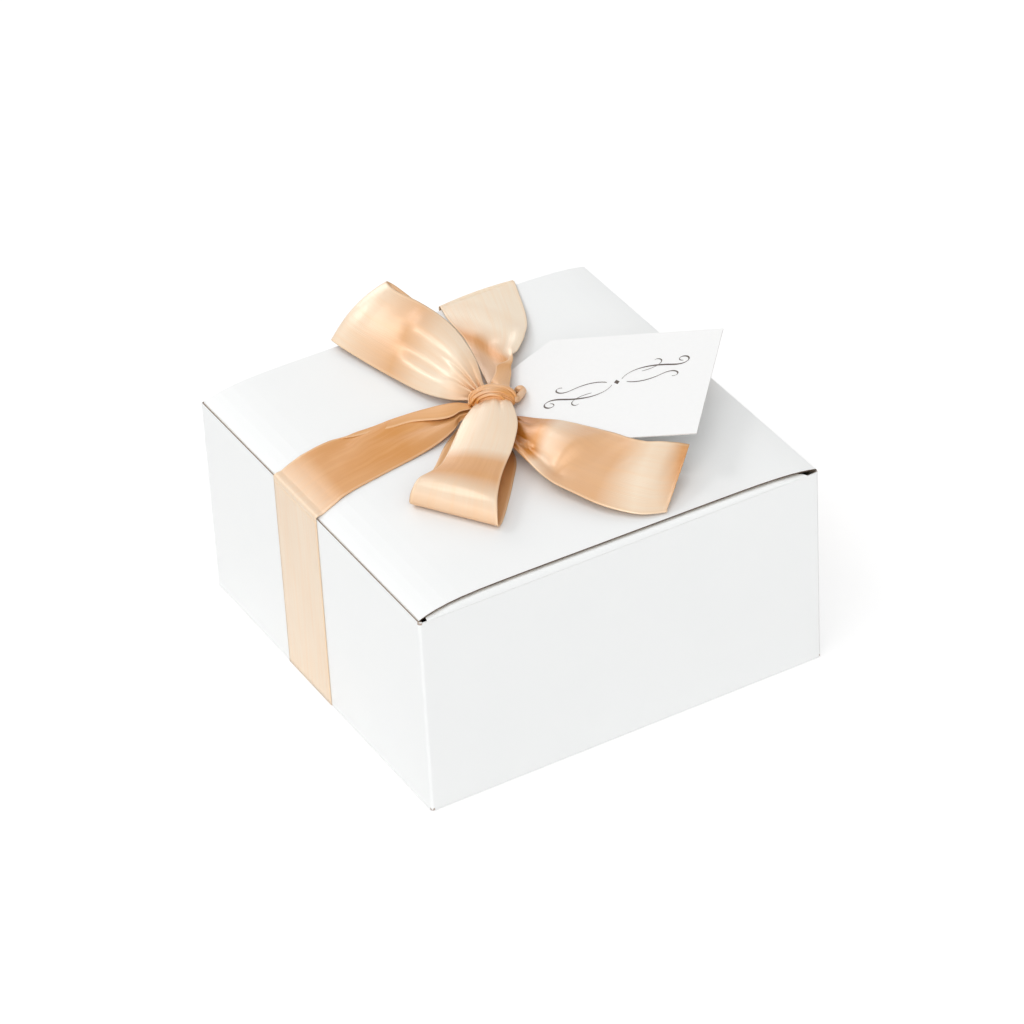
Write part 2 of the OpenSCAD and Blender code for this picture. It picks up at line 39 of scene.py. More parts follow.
import bpy
import numpy as np
from mathutils import Matrix, Vector

MM = 0.001
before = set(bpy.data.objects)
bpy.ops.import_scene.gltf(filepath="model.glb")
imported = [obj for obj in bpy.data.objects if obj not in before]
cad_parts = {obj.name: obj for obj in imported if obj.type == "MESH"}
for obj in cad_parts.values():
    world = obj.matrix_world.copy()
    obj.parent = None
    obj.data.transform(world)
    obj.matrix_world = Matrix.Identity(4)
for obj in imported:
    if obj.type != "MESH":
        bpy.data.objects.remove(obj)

# Sizes shared with the CAD source, in millimetres and degrees
BOX_W, BOX_D, BOX_H = 204.0, 204.0, 104.0
BOARD_T, CREASE_R = 0.6, 1.4
SEAT_GAP, WRAP_GAP, CREASE_GAP = 0.3, 0.15, 0.1
LID_RISE, LID_LEAN, LID_FLATNESS, LID_BEND = 4.8, 0.35, 8, math.radians(70)
RIBBON_W, RIBBON_T, RIBBON_X = 40.0, 0.3, -10.0
KNOT_X, KNOT_Y, KNOT_W, KNOT_H = -8.0, -1.0, 21.0, 8.5
KNOT_HEADING, WRAP_LEN = -35.0, 8.0
TAG_T, TAG_HEADING, TAG_PITCH, TAG_ROLL = 0.5, 50.5, 8.2, -1.9
HOLE_FROM_KNOT = (-8, 16.4, 3.7)
TAIL_DROP, TAIL_GAP, DROP_Y = 24.0, 1.6, 102.15

# Heights and places that follow from them
CREASE_Z = BOX_H - CREASE_R
SPLIT_Z, HINGE_Z = CREASE_Z - CREASE_GAP, CREASE_Z - CREASE_GAP / 2
LID_FRONT_Y = -(BOX_D / 2 - BOARD_T) + SEAT_GAP
FRONT_ARC_Y, BACK_ARC_Y = LID_FRONT_Y + CREASE_R, BOX_D / 2 - CREASE_R
CROWN_Y0 = FRONT_ARC_Y - CREASE_R * math.cos(LID_BEND)
CROWN_Y1 = BACK_ARC_Y + CREASE_R * math.cos(LID_BEND)
CROWN_BASE = CREASE_Z + CREASE_R * math.sin(LID_BEND)
LIFT = SEAT_GAP + RIBBON_T / 2
LEFT_RUN, RIGHT_RUN = BOX_W / 2 + KNOT_X, BOX_W / 2 - KNOT_X

# What only this script draws
SATIN_T, ROLLED_T = 0.26, 0.2
LID_REACH_X, LID_REACH_Y = 101.2, 100.5
INK_T, INK_LIFT = 0.04, 0.05


def crown_y(s):
    """Place along the lid, from -1 at its front crease to 1 at its back crease."""
    return (CROWN_Y0 + CROWN_Y1 + s * (CROWN_Y1 - CROWN_Y0)) / 2


def lid_z(y):
    """Height of the sprung lid over a place between its creases."""
    s = (2 * np.asarray(y, float) - CROWN_Y0 - CROWN_Y1) / (CROWN_Y1 - CROWN_Y0)
    lean = 1 - LID_LEAN * (s + 1) / 2
    return CROWN_BASE + LID_RISE * (1 - np.minimum(1, np.abs(s)) ** LID_FLATNESS) * lean


KNOT = np.array([KNOT_X, KNOT_Y, float(lid_z(KNOT_Y))])
HOLE = KNOT + np.array(HOLE_FROM_KNOT)


def tag_matrix():
    """Turn and place of the tag: X along it from the hole, Z out of its face."""
    turn = (
        Matrix.Rotation(math.radians(TAG_HEADING), 4, "Z")
        @ Matrix.Rotation(math.radians(-TAG_PITCH), 4, "Y")
        @ Matrix.Rotation(math.radians(TAG_ROLL), 4, "X")
    )
    return Matrix.Translation(Vector(HOLE * MM)) @ turn


TAG = tag_matrix()
TO_TAG = TAG.inverted()
TAG_UP = np.array(TAG.to_3x3().col[2])


def tag_z(x, y):
    """Height of the tag's middle plane over a place."""
    return HOLE[2] - (TAG_UP[0] * (x - HOLE[0]) + TAG_UP[1] * (y - HOLE[1])) / TAG_UP[2]


# ---------------------------------------------------------------- ribbon paths

# Runs that follow the lid's edges: share of the lid, and shifts of the left and right edge
FRONT_EDGE = [(0.980, -0.2, -0.3), (0.950, -0.8, -1.0), (0.910, -1.6, -1.9)]
BACK_EDGE = [0.985, 0.968, 0.945, 0.915, 0.875, 0.82]
BACK_BEND = (10, 35, 60)

# Left and right edge of the ribbon from the knot: X as a share of the strip's reach,
# Y and Z as shares of the ribbon's width
FRONT_RUN = [
    [-0.61, -2.12, 0, 0.37, -2.14, 0], [-0.63, -1.90, 0.01, 0.33, -1.94, 0.01],
    [-0.63, -1.62, 0.02, 0.29, -1.68, 0.02], [-0.60, -1.30, 0.03, 0.24, -1.40, 0.02],
    [-0.57, -0.96, 0.05, 0.19, -1.10, 0.03], [-0.49, -0.62, 0.09, 0.13, -0.80, 0.05],
    [-0.36, -0.34, 0.14, 0.04, -0.54, 0.08], [-0.26, -0.22, 0.15, -0.06, -0.38, 0.10],
    [-0.14, -0.08, 0.15, -0.04, -0.16, 0.11],
]
BACK_RUN = [
    [-0.55, 1.50, 0, 0.45, 1.50, 0], [-0.50, 1.00, 0, 0.40, 1.00, 0],
    [-0.42, 0.60, 0, 0.30, 0.60, 0], [-0.34, 0.30, 0, 0.20, 0.30, 0],
]
LOOP_LEFT = [
    [-0.12, 0.12, 0.21, -0.14, 0.00, 0.15],
    [-0.24, 0.06, 0.25, -0.22, -0.08, 0.17], [-0.35, 0.08, 0.28, -0.30, -0.15, 0.15],
    [-0.72, 0.18, 0.40, -0.49, -0.32, 0.12], [-1.25, 0.21, 0.50, -0.85, -0.48, 0.09],
    [-1.75, 0.10, 0.58, -1.41, -0.62, 0.08], [-2.15, -0.03, 0.60, -2.02, -0.76, 0.09],
    [-2.38, -0.02, 0.58, -2.29, -0.81, 0.10], [-2.45, 0.05, 0.52, -2.37, -0.78, 0.07],
    [-2.35, 0.13, 0.45, -2.28, -0.70, 0.04], [-2.00, 0.21, 0.38, -1.95, -0.58, 0.03],
    [-1.55, 0.27, 0.32, -1.45, -0.44, 0.03], [-1.05, 0.25, 0.25, -0.95, -0.30, 0.03],
    [-0.60, 0.14, 0.17, -0.55, -0.16, 0.04], [-0.30, 0.03, 0.13, -0.28, -0.08, 0.10],
    [-0.12, 0.08, 0.14, -0.12, -0.02, 0.11],
]
LOOP_FRONT = [
    [-0.17, -0.10, 0.20, 0.02, 0.16, 0.23], [-0.05, -0.22, 0.24, 0.20, 0.14, 0.28],
    [0.15, -0.47, 0.26, 0.58, -0.01, 0.295], [0.42, -0.75, 0.25, 0.91, -0.26, 0.28],
    [0.75, -1.11, 0.255, 1.28, -0.61, 0.275], [0.86, -1.43, 0.25, 1.62, -0.87, 0.25],
    [0.95, -1.58, 0.19, 1.82, -0.99, 0.18], [0.99, -1.64, 0.10, 1.90, -1.04, 0.09],
    [0.94, -1.57, 0.03, 1.84, -0.97, 0.03], [0.78, -1.37, 0.02, 1.64, -0.79, 0.02],
    [0.44, -1.00, 0.02, 1.21, -0.45, 0.02], [0.15, -0.71, 0.02, 0.83, -0.19, 0.02],
    [-0.05, -0.40, 0.03, 0.42, -0.12, 0.03], [0.02, -0.24, 0.07, 0.20, -0.12, 0.06],
    [-0.06, -0.08, 0.11, 0.05, 0.02, 0.10],
]
TAIL_LEFT = [
    [-0.06, 0.02, 0.16, 0.00, 0.14, 0.17], [-0.10, 0.14, 0.18, -0.02, 0.26, 0.19],
    [-0.21, 0.20, 0.16, -0.10, 0.34, 0.17], [-0.50, 0.42, 0.07, -0.32, 0.70, 0.11],
    [-0.69, 0.53, 0.03, -0.50, 1.10, 0.06],
    [-0.86, 0.57, 0.02, -0.66, 1.34, 0.03], [-0.97, 0.62, 0.02, -0.95, 1.60, 0.01],
]
TAIL_RIGHT = [
    [0.02, 0.04, 0.08, 0.02, -0.04, 0.07], [0.09, 0.12, 0.09, 0.09, -0.05, 0.08],
    [0.17, 0.28, 0.12, 0.18, -0.17, 0.10], [0.28, 0.48, 0.21, 0.34, -0.22, 0.14],
    [0.49, 0.73, 0.32, 0.54, -0.24, 0.17],
    [0.64, 0.90, 0.38, 0.68, -0.10, 0.15], [0.69, 1.14, 0.34, 0.81, 0.08, 0.10],
    [0.72, 1.30, 0.31, 0.92, 0.36, 0.05], [0.73, 1.36, 0.29, 0.96, 0.66, 0.02],
]
TAIL_ROWS_ON_TAG = 6
HANG_LEFT, HANG_RIGHT, HANG_LEAN, HANG_STEPS = 0.64, 1.63, 0.02, 3


def bow_row(s, reach):
    """Both edges of the ribbon at one station of the tables above, kept off the lid."""
    scale = np.array([reach, RIBBON_W, RIBBON_W])
    row = [KNOT + np.array(s[:3]) * scale, KNOT + np.array(s[3:]) * scale]
    for p in row:
        p[2] = max(p[2], float(lid_z(p[1])) + SEAT_GAP + RIBBON_T)
    return np.concatenate(row)


def flat_row(y, z):
    """Both edges where the ribbon lies straight round the box."""
    x0, x1 = RIBBON_X - RIBBON_W / 2, RIBBON_X + RIBBON_W / 2
    return np.array([x0, y, z, x1, y, z])


def hang_row(out, down, lean):
    """Both edges where the left tail hangs down the left wall."""
    x, z = -BOX_W / 2 - out, float(lid_z(KNOT_Y + RIBBON_W)) - down
    return np.array([x, KNOT_Y + (HANG_LEFT + lean) * RIBBON_W, z,
                     x, KNOT_Y + (HANG_RIGHT + lean) * RIBBON_W, z])


def lid_row(share):
    """Both edges where the ribbon lies straight on the lid."""
    y = crown_y(share)
    return flat_row(y, float(lid_z(y)) + LIFT)


def front_rows():
    rows = [flat_row(-DROP_Y - RIBBON_T / 2, z) for z in (SPLIT_Z, BOX_H - RIBBON_T)]
    rows += [flat_row(-BOX_D / 2, BOX_H + LIFT), flat_row(LID_FRONT_Y, BOX_H + 2 * LIFT)]
    for share, left, right in FRONT_EDGE:
        rows.append(lid_row(-share) + np.array([left, 0, 0, right, 0, 0]))
    return rows + [bow_row(s, RIBBON_W) for s in FRONT_RUN]


def back_rows():
    rows = []
    for bend in BACK_BEND:
        r, a = CREASE_R + LIFT, math.radians(bend)
        rows.append(flat_row(BACK_ARC_Y + r * math.cos(a), CREASE_Z + r * math.sin(a)))
    rows += [lid_row(share) for share in BACK_EDGE]
    return rows + [bow_row(s, RIBBON_W) for s in BACK_RUN]


def tail_left_rows():
    rows = [bow_row(s, LEFT_RUN) for s in TAIL_LEFT]
    rows += [hang_row(LIFT, -2 * LIFT, 0), hang_row(TAIL_GAP, 2 * LIFT, 0)]
    for k in range(1, HANG_STEPS + 1):
        rows.append(hang_row(TAIL_GAP + RIBBON_T * k, TAIL_DROP * k / HANG_STEPS, HANG_LEAN * k))
    return rows


def tail_right_rows():
    rows = [bow_row(s, RIGHT_RUN) for s in TAIL_RIGHT]
    for row in rows[:TAIL_ROWS_ON_TAG]:
        row[2] = max(row[2], tag_z(row[0], row[1]) + TAG_T / 2 + SEAT_GAP + RIBBON_T)
    return rows


# ---------------------------------------------------------------- ribbon surfaces

# Cross-sections of a folded strip: nine points (share across, height)
FLAT = [(k / 8, 0) for k in range(9)]
LIFTED = [(0.0, 0.35), (0.01, 0.3), (0.1, 0.1), (0.25, 0.0), (0.4, 0.05), (0.55, 0.1),
          (0.7, 0.05), (0.85, 0.0), (1, 0)]
TURNED = [(0.12, 0.6), (0.05, 0.6), (0.0, 0.3), (0.05, 0.0), (0.2, 0.1), (0.4, 0.2),
          (0.62, 0.1), (0.82, 0.0), (1, 0)]
LAPPED = [(0.24, 0.9), (0.12, 1.0), (0.02, 0.7), (0.0, 0.2), (0.12, 0.0), (0.36, 0.2),
          (0.60, 0.2), (0.8, 0.1), (1, 0)]
DOUBLED = [(0.60, 1.2), (0.34, 1.3), (0.10, 1.1), (0.0, 0.5), (0.1, 0.0), (0.34, 0.2),
           (0.60, 0.3), (0.8, 0.1), (1, 0)]
PETAL = [(0, 0.0), (0.25, 0.2), (0.5, 0.3), (0.80, 0.4), (1.02, 0.9), (1.10, 1.8),
         (0.88, 2.4), (0.42, 2.4), (-0.02, 1.8)]
OPENED = [(0, 0.0), (0.22, -0.3), (0.44, -0.4), (0.68, -0.1), (0.88, 0.4), (1.0, 0.9),
          (1.03, 1.4), (0.84, 1.7), (0.52, 1.6)]
HINGED = [(0, 0.0), (0.16, -0.2), (0.33, -0.3), (0.5, -0.2), (0.67, 0.1), (0.83, 0.4),
          (0.96, 0.7), (1.0, 0.9), (0.90, 0.9)]

# How far a ribbon arches: shares of its width and of the distance between its edges
ARCH_OF_WIDTH, ARCH_OF_CHORD, ARCH_OF_SPARE = 0.1, 0.3, math.sqrt(3 / 8)
# Pleats: most depth as a share of that distance, sharpness, and how they wander along the strip
PLEAT_OF_CHORD, PLEAT_SHARPNESS, PLEAT_WANDER, WANDER_RATE = 0.16, 0.6, 0.05, 0.9
# Pleat depth of the strips that lie nearly flat, as a share of the setting
CALM_PLEATS = 0.6


def smooth(rows, n):
    """Smooth curve through stations of any number of values, n steps apart."""
    rows = np.asarray(rows, float)
    last = len(rows) - 1
    out = []
    for i in range(last):
        p, q, r, s = (rows[max(0, min(last, i + k))] for k in (-1, 0, 1, 2))
        for k in range(n):
            t = k / n
            out.append((2 * q + (r - p) * t + (2 * p - 5 * q + 4 * r - s) * t * t
                        + (3 * q - p - 3 * r + s) * t ** 3) / 2)
    out.append(rows[last])
    return np.array(out)


def ease(t):
    """Smooth step from 0 to 1."""
    t = np.clip(t, 0, 1)
    return t * t * (3 - 2 * t)


def lookup(table, at):
    """Values at one or more places, from a table of (place, value)."""
    return np.interp(at, [row[0] for row in table], [row[1] for row in table])


def profiles(keys, count, across):
    """Cross-sections at every row, from keys (station, points), the last of them at the end."""
    at = np.array([k[0] for k in keys], float)
    points = np.array([k[1] for k in keys], float)
    steps = across // (points.shape[1] - 1)
    rows = []
    for u in np.linspace(0, at[-1], count):
        i = max(0, min(len(at) - 2, int(np.searchsorted(at, u)) - 1))
        t = ease((u - at[i]) / max(1e-9, at[i + 1] - at[i]))
        rows.append(smooth(points[i] * (1 - t) + points[i + 1] * t, steps))
    return rows


def fold_height(folds, u, s):
    """Height of ridges, or of creases below 0, along paths of (station, share across).
    Each fold is (height, width, path) and fades over a third of its length at both ends."""
    h = np.zeros(len(s))
    for height, width, path in folds:
        start, end = path[0][0], path[-1][0]
        t = (u - start) / (end - start)
        if 0 < t < 1:
            ridge = np.exp(-((s - lookup(path, u)) / width) ** 2)
            h += height * ease(3 * t) * ease(3 - 3 * t) * ridge
    return h


def ribbon_grid(rows, side, fine=10, across=48, keys=None, pleats=3.0, gain=0.8, shift=0.0,
                seed=1, ground=True, rest=None, folds=(), near=((0, 1),), crown=((0, 1),)):
    """Middle surface of a ribbon between the two edges that rows list.

    side is 1 or -1 for the side that the ribbon arches to, and 0 where it lies flat.
    keys are cross-sections, folds are ridges and creases, near and crown are tables of the
    share of the pleats and of the arch along the strip. ground keeps the ribbon off the lid,
    and rest, if given, off what else it lies on.
    """
    rows = smooth(rows, fine)
    n = len(rows)
    a, b = rows[:, :3], rows[:, 3:]
    u = np.linspace(0, (n - 1) / fine, n)
    if side:
        up = np.cross(np.gradient(a + b, axis=0), b - a)
        up *= side / np.maximum(np.linalg.norm(up, axis=1, keepdims=True), 1e-9)
        arch = lookup(crown, u)
    else:
        up, arch = np.tile([0.0, 0.0, 1.0], (n, 1)), 0
    chord = np.linalg.norm(b - a, axis=1)
    spare = np.sqrt(np.maximum(0, (RIBBON_W - chord) * chord))
    bulge = np.minimum(np.minimum(ARCH_OF_WIDTH * RIBBON_W, ARCH_OF_CHORD * chord),
                       spare * ARCH_OF_SPARE)
    bulge = bulge * np.clip(up[:, 2], 0, 1) * arch
    wave = np.minimum(gain * spare / (math.pi * pleats), PLEAT_OF_CHORD * chord)
    wave = wave * lookup(near, u)
    if keys:
        sections = profiles(keys, n, across)
    else:
        level = np.stack([np.linspace(0, 1, across + 1), np.zeros(across + 1)], axis=1)
        sections = [level] * n
    grid = []
    for i in range(n):
        s, h = sections[i][:, 0], sections[i][:, 1]
        t = np.linspace(0, 1, len(s))
        on_strip = np.clip(s, 0, 1)
        fall = np.sin(math.pi * on_strip) ** 0.5
        wander = PLEAT_WANDER * math.sin(WANDER_RATE * u[i] + seed)
        turn = 2 * math.pi * (pleats * t + shift + wander)
        crease = np.sin(turn + PLEAT_SHARPNESS * np.sin(turn))
        rise = 4 * s * (1 - s) * bulge[i] * (on_strip == s) + h
        rise = rise + fall * wave[i] * crease + fold_height(folds, u[i], t)
        p = a[i] + np.outer(s, b[i] - a[i]) + np.outer(rise, up[i])
        if ground:
            inside = (np.abs(p[:, 0]) < LID_REACH_X) & (np.abs(p[:, 1]) < LID_REACH_Y)
            low = lid_z(p[:, 1]) + SEAT_GAP + RIBBON_T / 2
            p[:, 2] = np.where(inside, np.maximum(p[:, 2], low), p[:, 2])
        if rest is not None:
            p = rest(p)
        grid.append(p)
    return np.array(grid)


def sheet_object(name, grid, thickness, painted_lights, slant):
    """Cloth strip from a grid of points in millimetres, with UVs in metres and its painted light,
    which its table lists as (share of the length, paleness of painted sheen, below 0 painted
    shade) and slant shears across the strip."""
    n, m = grid.shape[:2]
    g = grid * MM
    across = np.concatenate([np.zeros((n, 1)), np.cumsum(
        np.linalg.norm(np.diff(g, axis=1), axis=2), axis=1)], axis=1)
    across = across / np.maximum(across[:, -1:], 1e-9)
    middle = g[:, m // 2]
    run = np.cumsum(np.linalg.norm(np.diff(middle, axis=0), axis=1))
    run = np.concatenate([[0], run])
    mesh = bpy.data.meshes.new(name)
    faces = [(i * m + j, i * m + j + 1, (i + 1) * m + j + 1, (i + 1) * m + j)
             for i in range(n - 1) for j in range(m - 1)]
    mesh.from_pydata([tuple(p) for p in g.reshape(-1, 3)], [], faces)
    layer = mesh.uv_layers.new(name="UVMap")
    uv = np.stack([np.repeat(run[:, None], m, 1), across * RIBBON_W * MM], axis=2)
    corners = np.array([v for f in faces for v in f])
    layer.data.foreach_set("uv", uv.reshape(-1, 2)[corners].ravel())
    # Painted light of the satin at each point: painted sheen up to 1, painted shade below 0
    painted_light = mesh.attributes.new("painted_light", "FLOAT", "POINT")
    share = run[:, None] / run[-1] + slant * (across - 0.5)
    painted_light.data.foreach_set("value", lookup(painted_lights, share).ravel())
    mesh.update()
    obj = bpy.data.objects.new(name, mesh)
    bpy.context.scene.collection.objects.link(obj)
    select(obj)
    bpy.ops.object.shade_smooth()
    shell = obj.modifiers.new("Thickness", "SOLIDIFY")
    shell.thickness = thickness * MM
    shell.offset = 0
    shell.use_even_offset = False
    shell.material_offset = 1
    shell.material_offset_rim = 0
    return obj, run[-1]


def select(obj):
    for o in list(bpy.context.selected_objects):
        o.select_set(False)
    obj.select_set(True)
    bpy.context.view_layer.objects.active = obj


def apply_modifiers(obj):
    select(obj)
    for m in list(obj.modifiers):
        bpy.ops.object.modifier_apply(modifier=m.name)


# ---------------------------------------------------------------- materials

BOARD_WHITE = (0.895, 0.907, 0.905, 1), (0.918, 0.925, 0.92, 1)
BOARD_LINER = (0.60, 0.50, 0.385, 1), (0.70, 0.60, 0.475, 1)
# Colour of raw edges, darker than the kraft core alone: painted shade of the gaps at the seams
BOARD_CORE_AND_GAP_SHADE = (0.06, 0.038, 0.028, 1), (0.14, 0.09, 0.062, 1)
PALE_CORE, WORN_BOARD = (0.45, 0.36, 0.29, 1), (0.30, 0.19, 0.12, 1)
# Satin pairs: the satin's own colour, then the pale colour of its painted sheen
SATIN_FACE_AND_SHEEN = (0.62, 0.235, 0.015, 1), (0.88, 0.74, 0.57, 1)
SATIN_BACK_AND_SHEEN = (0.64, 0.29, 0.075, 1), (0.84, 0.58, 0.36, 1)
# First the colour of painted deep shade in the satin's creases and under the bow, then the colour
# of its streaks
SATIN_PAINTED_SHADE, SATIN_STREAK = (0.44, 0.15, 0.012, 1), (0.86, 0.48, 0.20, 1)
SATIN_SELVEDGE = (0.88, 0.62, 0.38, 1)
PAPER, PAPER_SIDE = ((0.915, 0.915, 0.91, 1), (0.945, 0.945, 0.94, 1)), (0.72, 0.71, 0.69, 1)
INK = (0.085, 0.066, 0.055, 1), (0.15, 0.12, 0.10, 1)
WHITE, FLOOR_LIT, FLOOR_SEEN = (1, 1, 1, 1), (0.82, 0.82, 0.82, 1), (0.52, 0.52, 0.52, 1)
FLOOR_GLOW, WORLD_LIGHT = 0.55, 0.48

# Face and back of the satin: its plain colour and its painted sheen colour, index of refraction,
# roughness and bump
SATIN_LOOKS = {
    "satin_face": (SATIN_FACE_AND_SHEEN, 1.84, 0.285, 0.4),
    "satin_back": (SATIN_BACK_AND_SHEEN, 1.65, 0.37, 0.25),
}

# Scales of the patterns, per metre
MOTTLE, FIBRE, LINER_GRAIN, CORE_GRAIN = 34.0, 900.0, 260.0, 700.0
WEAR_GRAIN, BOARD_WAVE = 520.0, 22.0
STREAK, BAND, CLOUD, WEAVE = 2600.0, 420.0, 60.0, 900.0
PAPER_FIBRE, INK_POOL = 500.0, 420.0

# Cosines from which a face counts as turned to an axis
FACES_EDGE, FACES_SIDE = 0.75, 0.5

# The carton's corners, in metres: past these the board's coating is worn
WORN_X, WORN_Y, WORN_MID_Z, WORN_Z = 0.1006, 0.1004, 0.0518, 0.0502
WEAR_LEVEL, WEAR_SHARE = 0.47, 0.75


class Value:
    """A node socket that plain arithmetic works on."""

    def __init__(self, graph, socket):
        self.graph, self.socket = graph, socket

    def __add__(self, o): return self.graph.math("ADD", self, o)
    def __sub__(self, o): return self.graph.math("SUBTRACT", self, o)
    def __rsub__(self, o): return self.graph.math("SUBTRACT", o, self)
    def __mul__(self, o): return self.graph.math("MULTIPLY", self, o)
    def __neg__(self): return self.graph.math("MULTIPLY", self, -1.0)
    def __abs__(self): return self.graph.math("ABSOLUTE", self)
    def over(self, o): return self.graph.math("GREATER_THAN", self, o)
    def below(self, o): return self.graph.math("LESS_THAN", self, o)


class Graph:
    """The nodes of a material or a world, built as arithmetic on sockets."""

    def __init__(self, owner, output):
        owner.use_nodes = True
        self.tree = owner.node_tree
        self.tree.nodes.clear()
        self.out = self.tree.nodes.new(output)

    def feed(self, socket, value):
        if isinstance(value, Value):
            self.tree.links.new(value.socket, socket)
        else:
            socket.default_value = value

    def node(self, kind, output=0, props=None, **inputs):
        """Any node: its properties, its inputs by name or by _index, and one output."""
        n = self.tree.nodes.new(kind)
        for key, value in (props or {}).items():
            setattr(n, key, value)
        for key, value in inputs.items():
            socket = int(key[1:]) if key[0] == "_" else key.replace("_", " ")
            self.feed(n.inputs[socket], value)
        return Value(self, n.outputs[output])

    def math(self, op, *args):
        inputs = {"_" + str(i): value for i, value in enumerate(args)}
        return self.node("ShaderNodeMath", 0, {"operation": op}, **inputs)

    def backdrop(self):
        """1 where the camera or a gloss sees this, so that gloss shows the white as well."""
        camera = self.node("ShaderNodeLightPath", "Is Camera Ray")
        gloss = self.node("ShaderNodeLightPath", "Is Glossy Ray")
        return self.math("MAXIMUM", camera, gloss)

    def choose(self, share, a, b):
        """Sends out the surface a where share is 0, and b where it is 1."""
        mix = self.node("ShaderNodeMixShader", _0=share, _1=a, _2=b)
        self.feed(self.out.inputs["Surface"], mix)


class Shader(Graph):
    """A material round one Principled node; constants are set on the node itself."""

    def __init__(self, name, **fixed):
        self.material = bpy.data.materials.new(name)
        super().__init__(self.material, "ShaderNodeOutputMaterial")
        self.bsdf = self.tree.nodes.new("ShaderNodeBsdfPrincipled")
        self.tree.links.new(self.bsdf.outputs[0], self.out.inputs["Surface"])
        self.set(**fixed)

    def set(self, **values):
        for key, value in values.items():
            self.feed(self.bsdf.inputs[key.replace("_", " ")], value)
        return self.material

    def blend(self, share, a, b):
        """Colour mix, a where share is 0."""
        return self.node("ShaderNodeMix", 2, {"data_type": "RGBA"}, _0=share, _6=a, _7=b)

    def dot(self, a, b):
        return self.node("ShaderNodeVectorMath", "Value", {"operation": "DOT_PRODUCT"},
                         _0=a, _1=b)

    def stretch(self, vector, scale):
        return self.node("ShaderNodeVectorMath", 0, {"operation": "MULTIPLY"},
                         _0=vector, _1=scale)

    def split(self, vector):
        """The coordinates of a vector."""
        n = self.tree.nodes.new("ShaderNodeSeparateXYZ")
        self.feed(n.inputs[0], vector)
        return [Value(self, socket) for socket in n.outputs]

    def steps(self, value, low, high):
        """Smooth step from 0 at low to 1 at high."""
        return self.node("ShaderNodeMapRange", 0, {"interpolation_type": "SMOOTHSTEP"},
                         Value=value, From_Min=low, From_Max=high)

    def noise(self, vector, scale, detail=2.0):
        return self.node("ShaderNodeTexNoise", Vector=vector, Scale=scale, Detail=detail)

    def bump(self, height, strength, distance):
        return self.node("ShaderNodeBump", Height=height, Strength=strength, Distance=distance)


def board_material(name, inside, edge, paleness):
    """Coated board: white outside, plain kraft liner inside and brown raw edges, darker than the
    core alone as painted shade of the seam gaps.
    inside is the liner's side. edge is the axis that the raw edges face; with None they are
    the sheet's narrow sides, and with "crease" there are none."""
    s = Shader(name, IOR=1.45, Specular_IOR_Level=0.35)
    coords = s.node("ShaderNodeTexCoord", "Object")
    normal = s.node("ShaderNodeTexCoord", "Normal")
    facing = s.dot(normal, inside)
    if edge == "crease":
        raw = 0.0
    elif edge:
        raw = abs(s.dot(normal, edge)).over(FACES_EDGE)
    else:
        raw = abs(facing).below(FACES_SIDE)
    mottle = s.noise(coords, MOTTLE, 3.0)
    fibre = s.noise(s.stretch(coords, (1, 1, 3)), FIBRE, 3.0)
    liner = s.blend(s.noise(coords, LINER_GRAIN, 4.0), *BOARD_LINER)
    colour = s.blend(facing.over(FACES_SIDE), s.blend(mottle, *BOARD_WHITE), liner)
    # Raw edges: kraft core darkened with painted seam-gap shade, paler on the front wall
    core_and_gap_shade = s.blend(s.noise(coords, CORE_GRAIN), *BOARD_CORE_AND_GAP_SHADE)
    colour = s.blend(raw, colour, s.blend(paleness, core_and_gap_shade, PALE_CORE))
    x, y, z = s.split(coords)
    corner = abs(x).over(WORN_X) * abs(y).over(WORN_Y) * abs(z - WORN_MID_Z).over(WORN_Z)
    worn = corner * s.noise(coords, WEAR_GRAIN).over(WEAR_LEVEL)
    height = s.noise(coords, BOARD_WAVE, 1.0) * 0.6 + fibre * 0.06
    return s.set(Base_Color=s.blend(worn * WEAR_SHARE, colour, WORN_BOARD),
                 Roughness=mottle * 0.08 + 0.42, Normal=s.bump(height, 0.12, 0.0006))


def satin_material(name, colours, ior, roughness, bump):
    """Ribbon satin with painted sheen and shade: the UV runs along the ribbon and across it, in
    metres, and the painted light of a strip goes from the plain satin at 0 to a painted sheen at
    1, and below 0 to a painted deep shade."""
    s = Shader(name, Metallic=0.12, IOR=ior, Specular_IOR_Level=0.5)
    uv = s.node("ShaderNodeUVMap")
    across = s.split(uv)[1] * (1 / (RIBBON_W * MM))
    edge = s.math("MINIMUM", across, 1.0 - across)
    selvedge = s.steps(edge, 0.045, 0.02)
    streak = s.noise(s.stretch(uv, (0.02, 1, 1)), STREAK)
    band = s.noise(s.stretch(uv, (0.05, 1, 1)), BAND)
    cloud = s.noise(s.stretch(uv, (0.4, 1, 1)), CLOUD)
    weave = s.node("ShaderNodeTexWave", 1, {"bands_direction": "X"}, Vector=uv, Scale=WEAVE)
    painted_light = s.node("ShaderNodeAttribute", "Fac", {"attribute_name": "painted_light"})
    # Painted sheen: the strip's painted light mixes the satin's colour toward its pale sheen
    # colour
    colour = s.blend(painted_light + cloud * 0.2 - 0.1, *colours)
    # Painted shade: below 0 it mixes toward the deep shade colour
    colour = s.blend(-painted_light, colour, SATIN_PAINTED_SHADE)
    colour = s.blend(s.steps(band, 0.35, 0.75) * 0.2, colour, SATIN_STREAK)
    colour = s.blend(selvedge * 0.35, colour, SATIN_SELVEDGE)
    height = streak * 0.8 + weave * 0.1 + band * 0.8 + selvedge * 0.7
    return s.set(Base_Color=colour, Roughness=streak * 0.06 + roughness,
                 Normal=s.bump(height, bump, 0.00018))


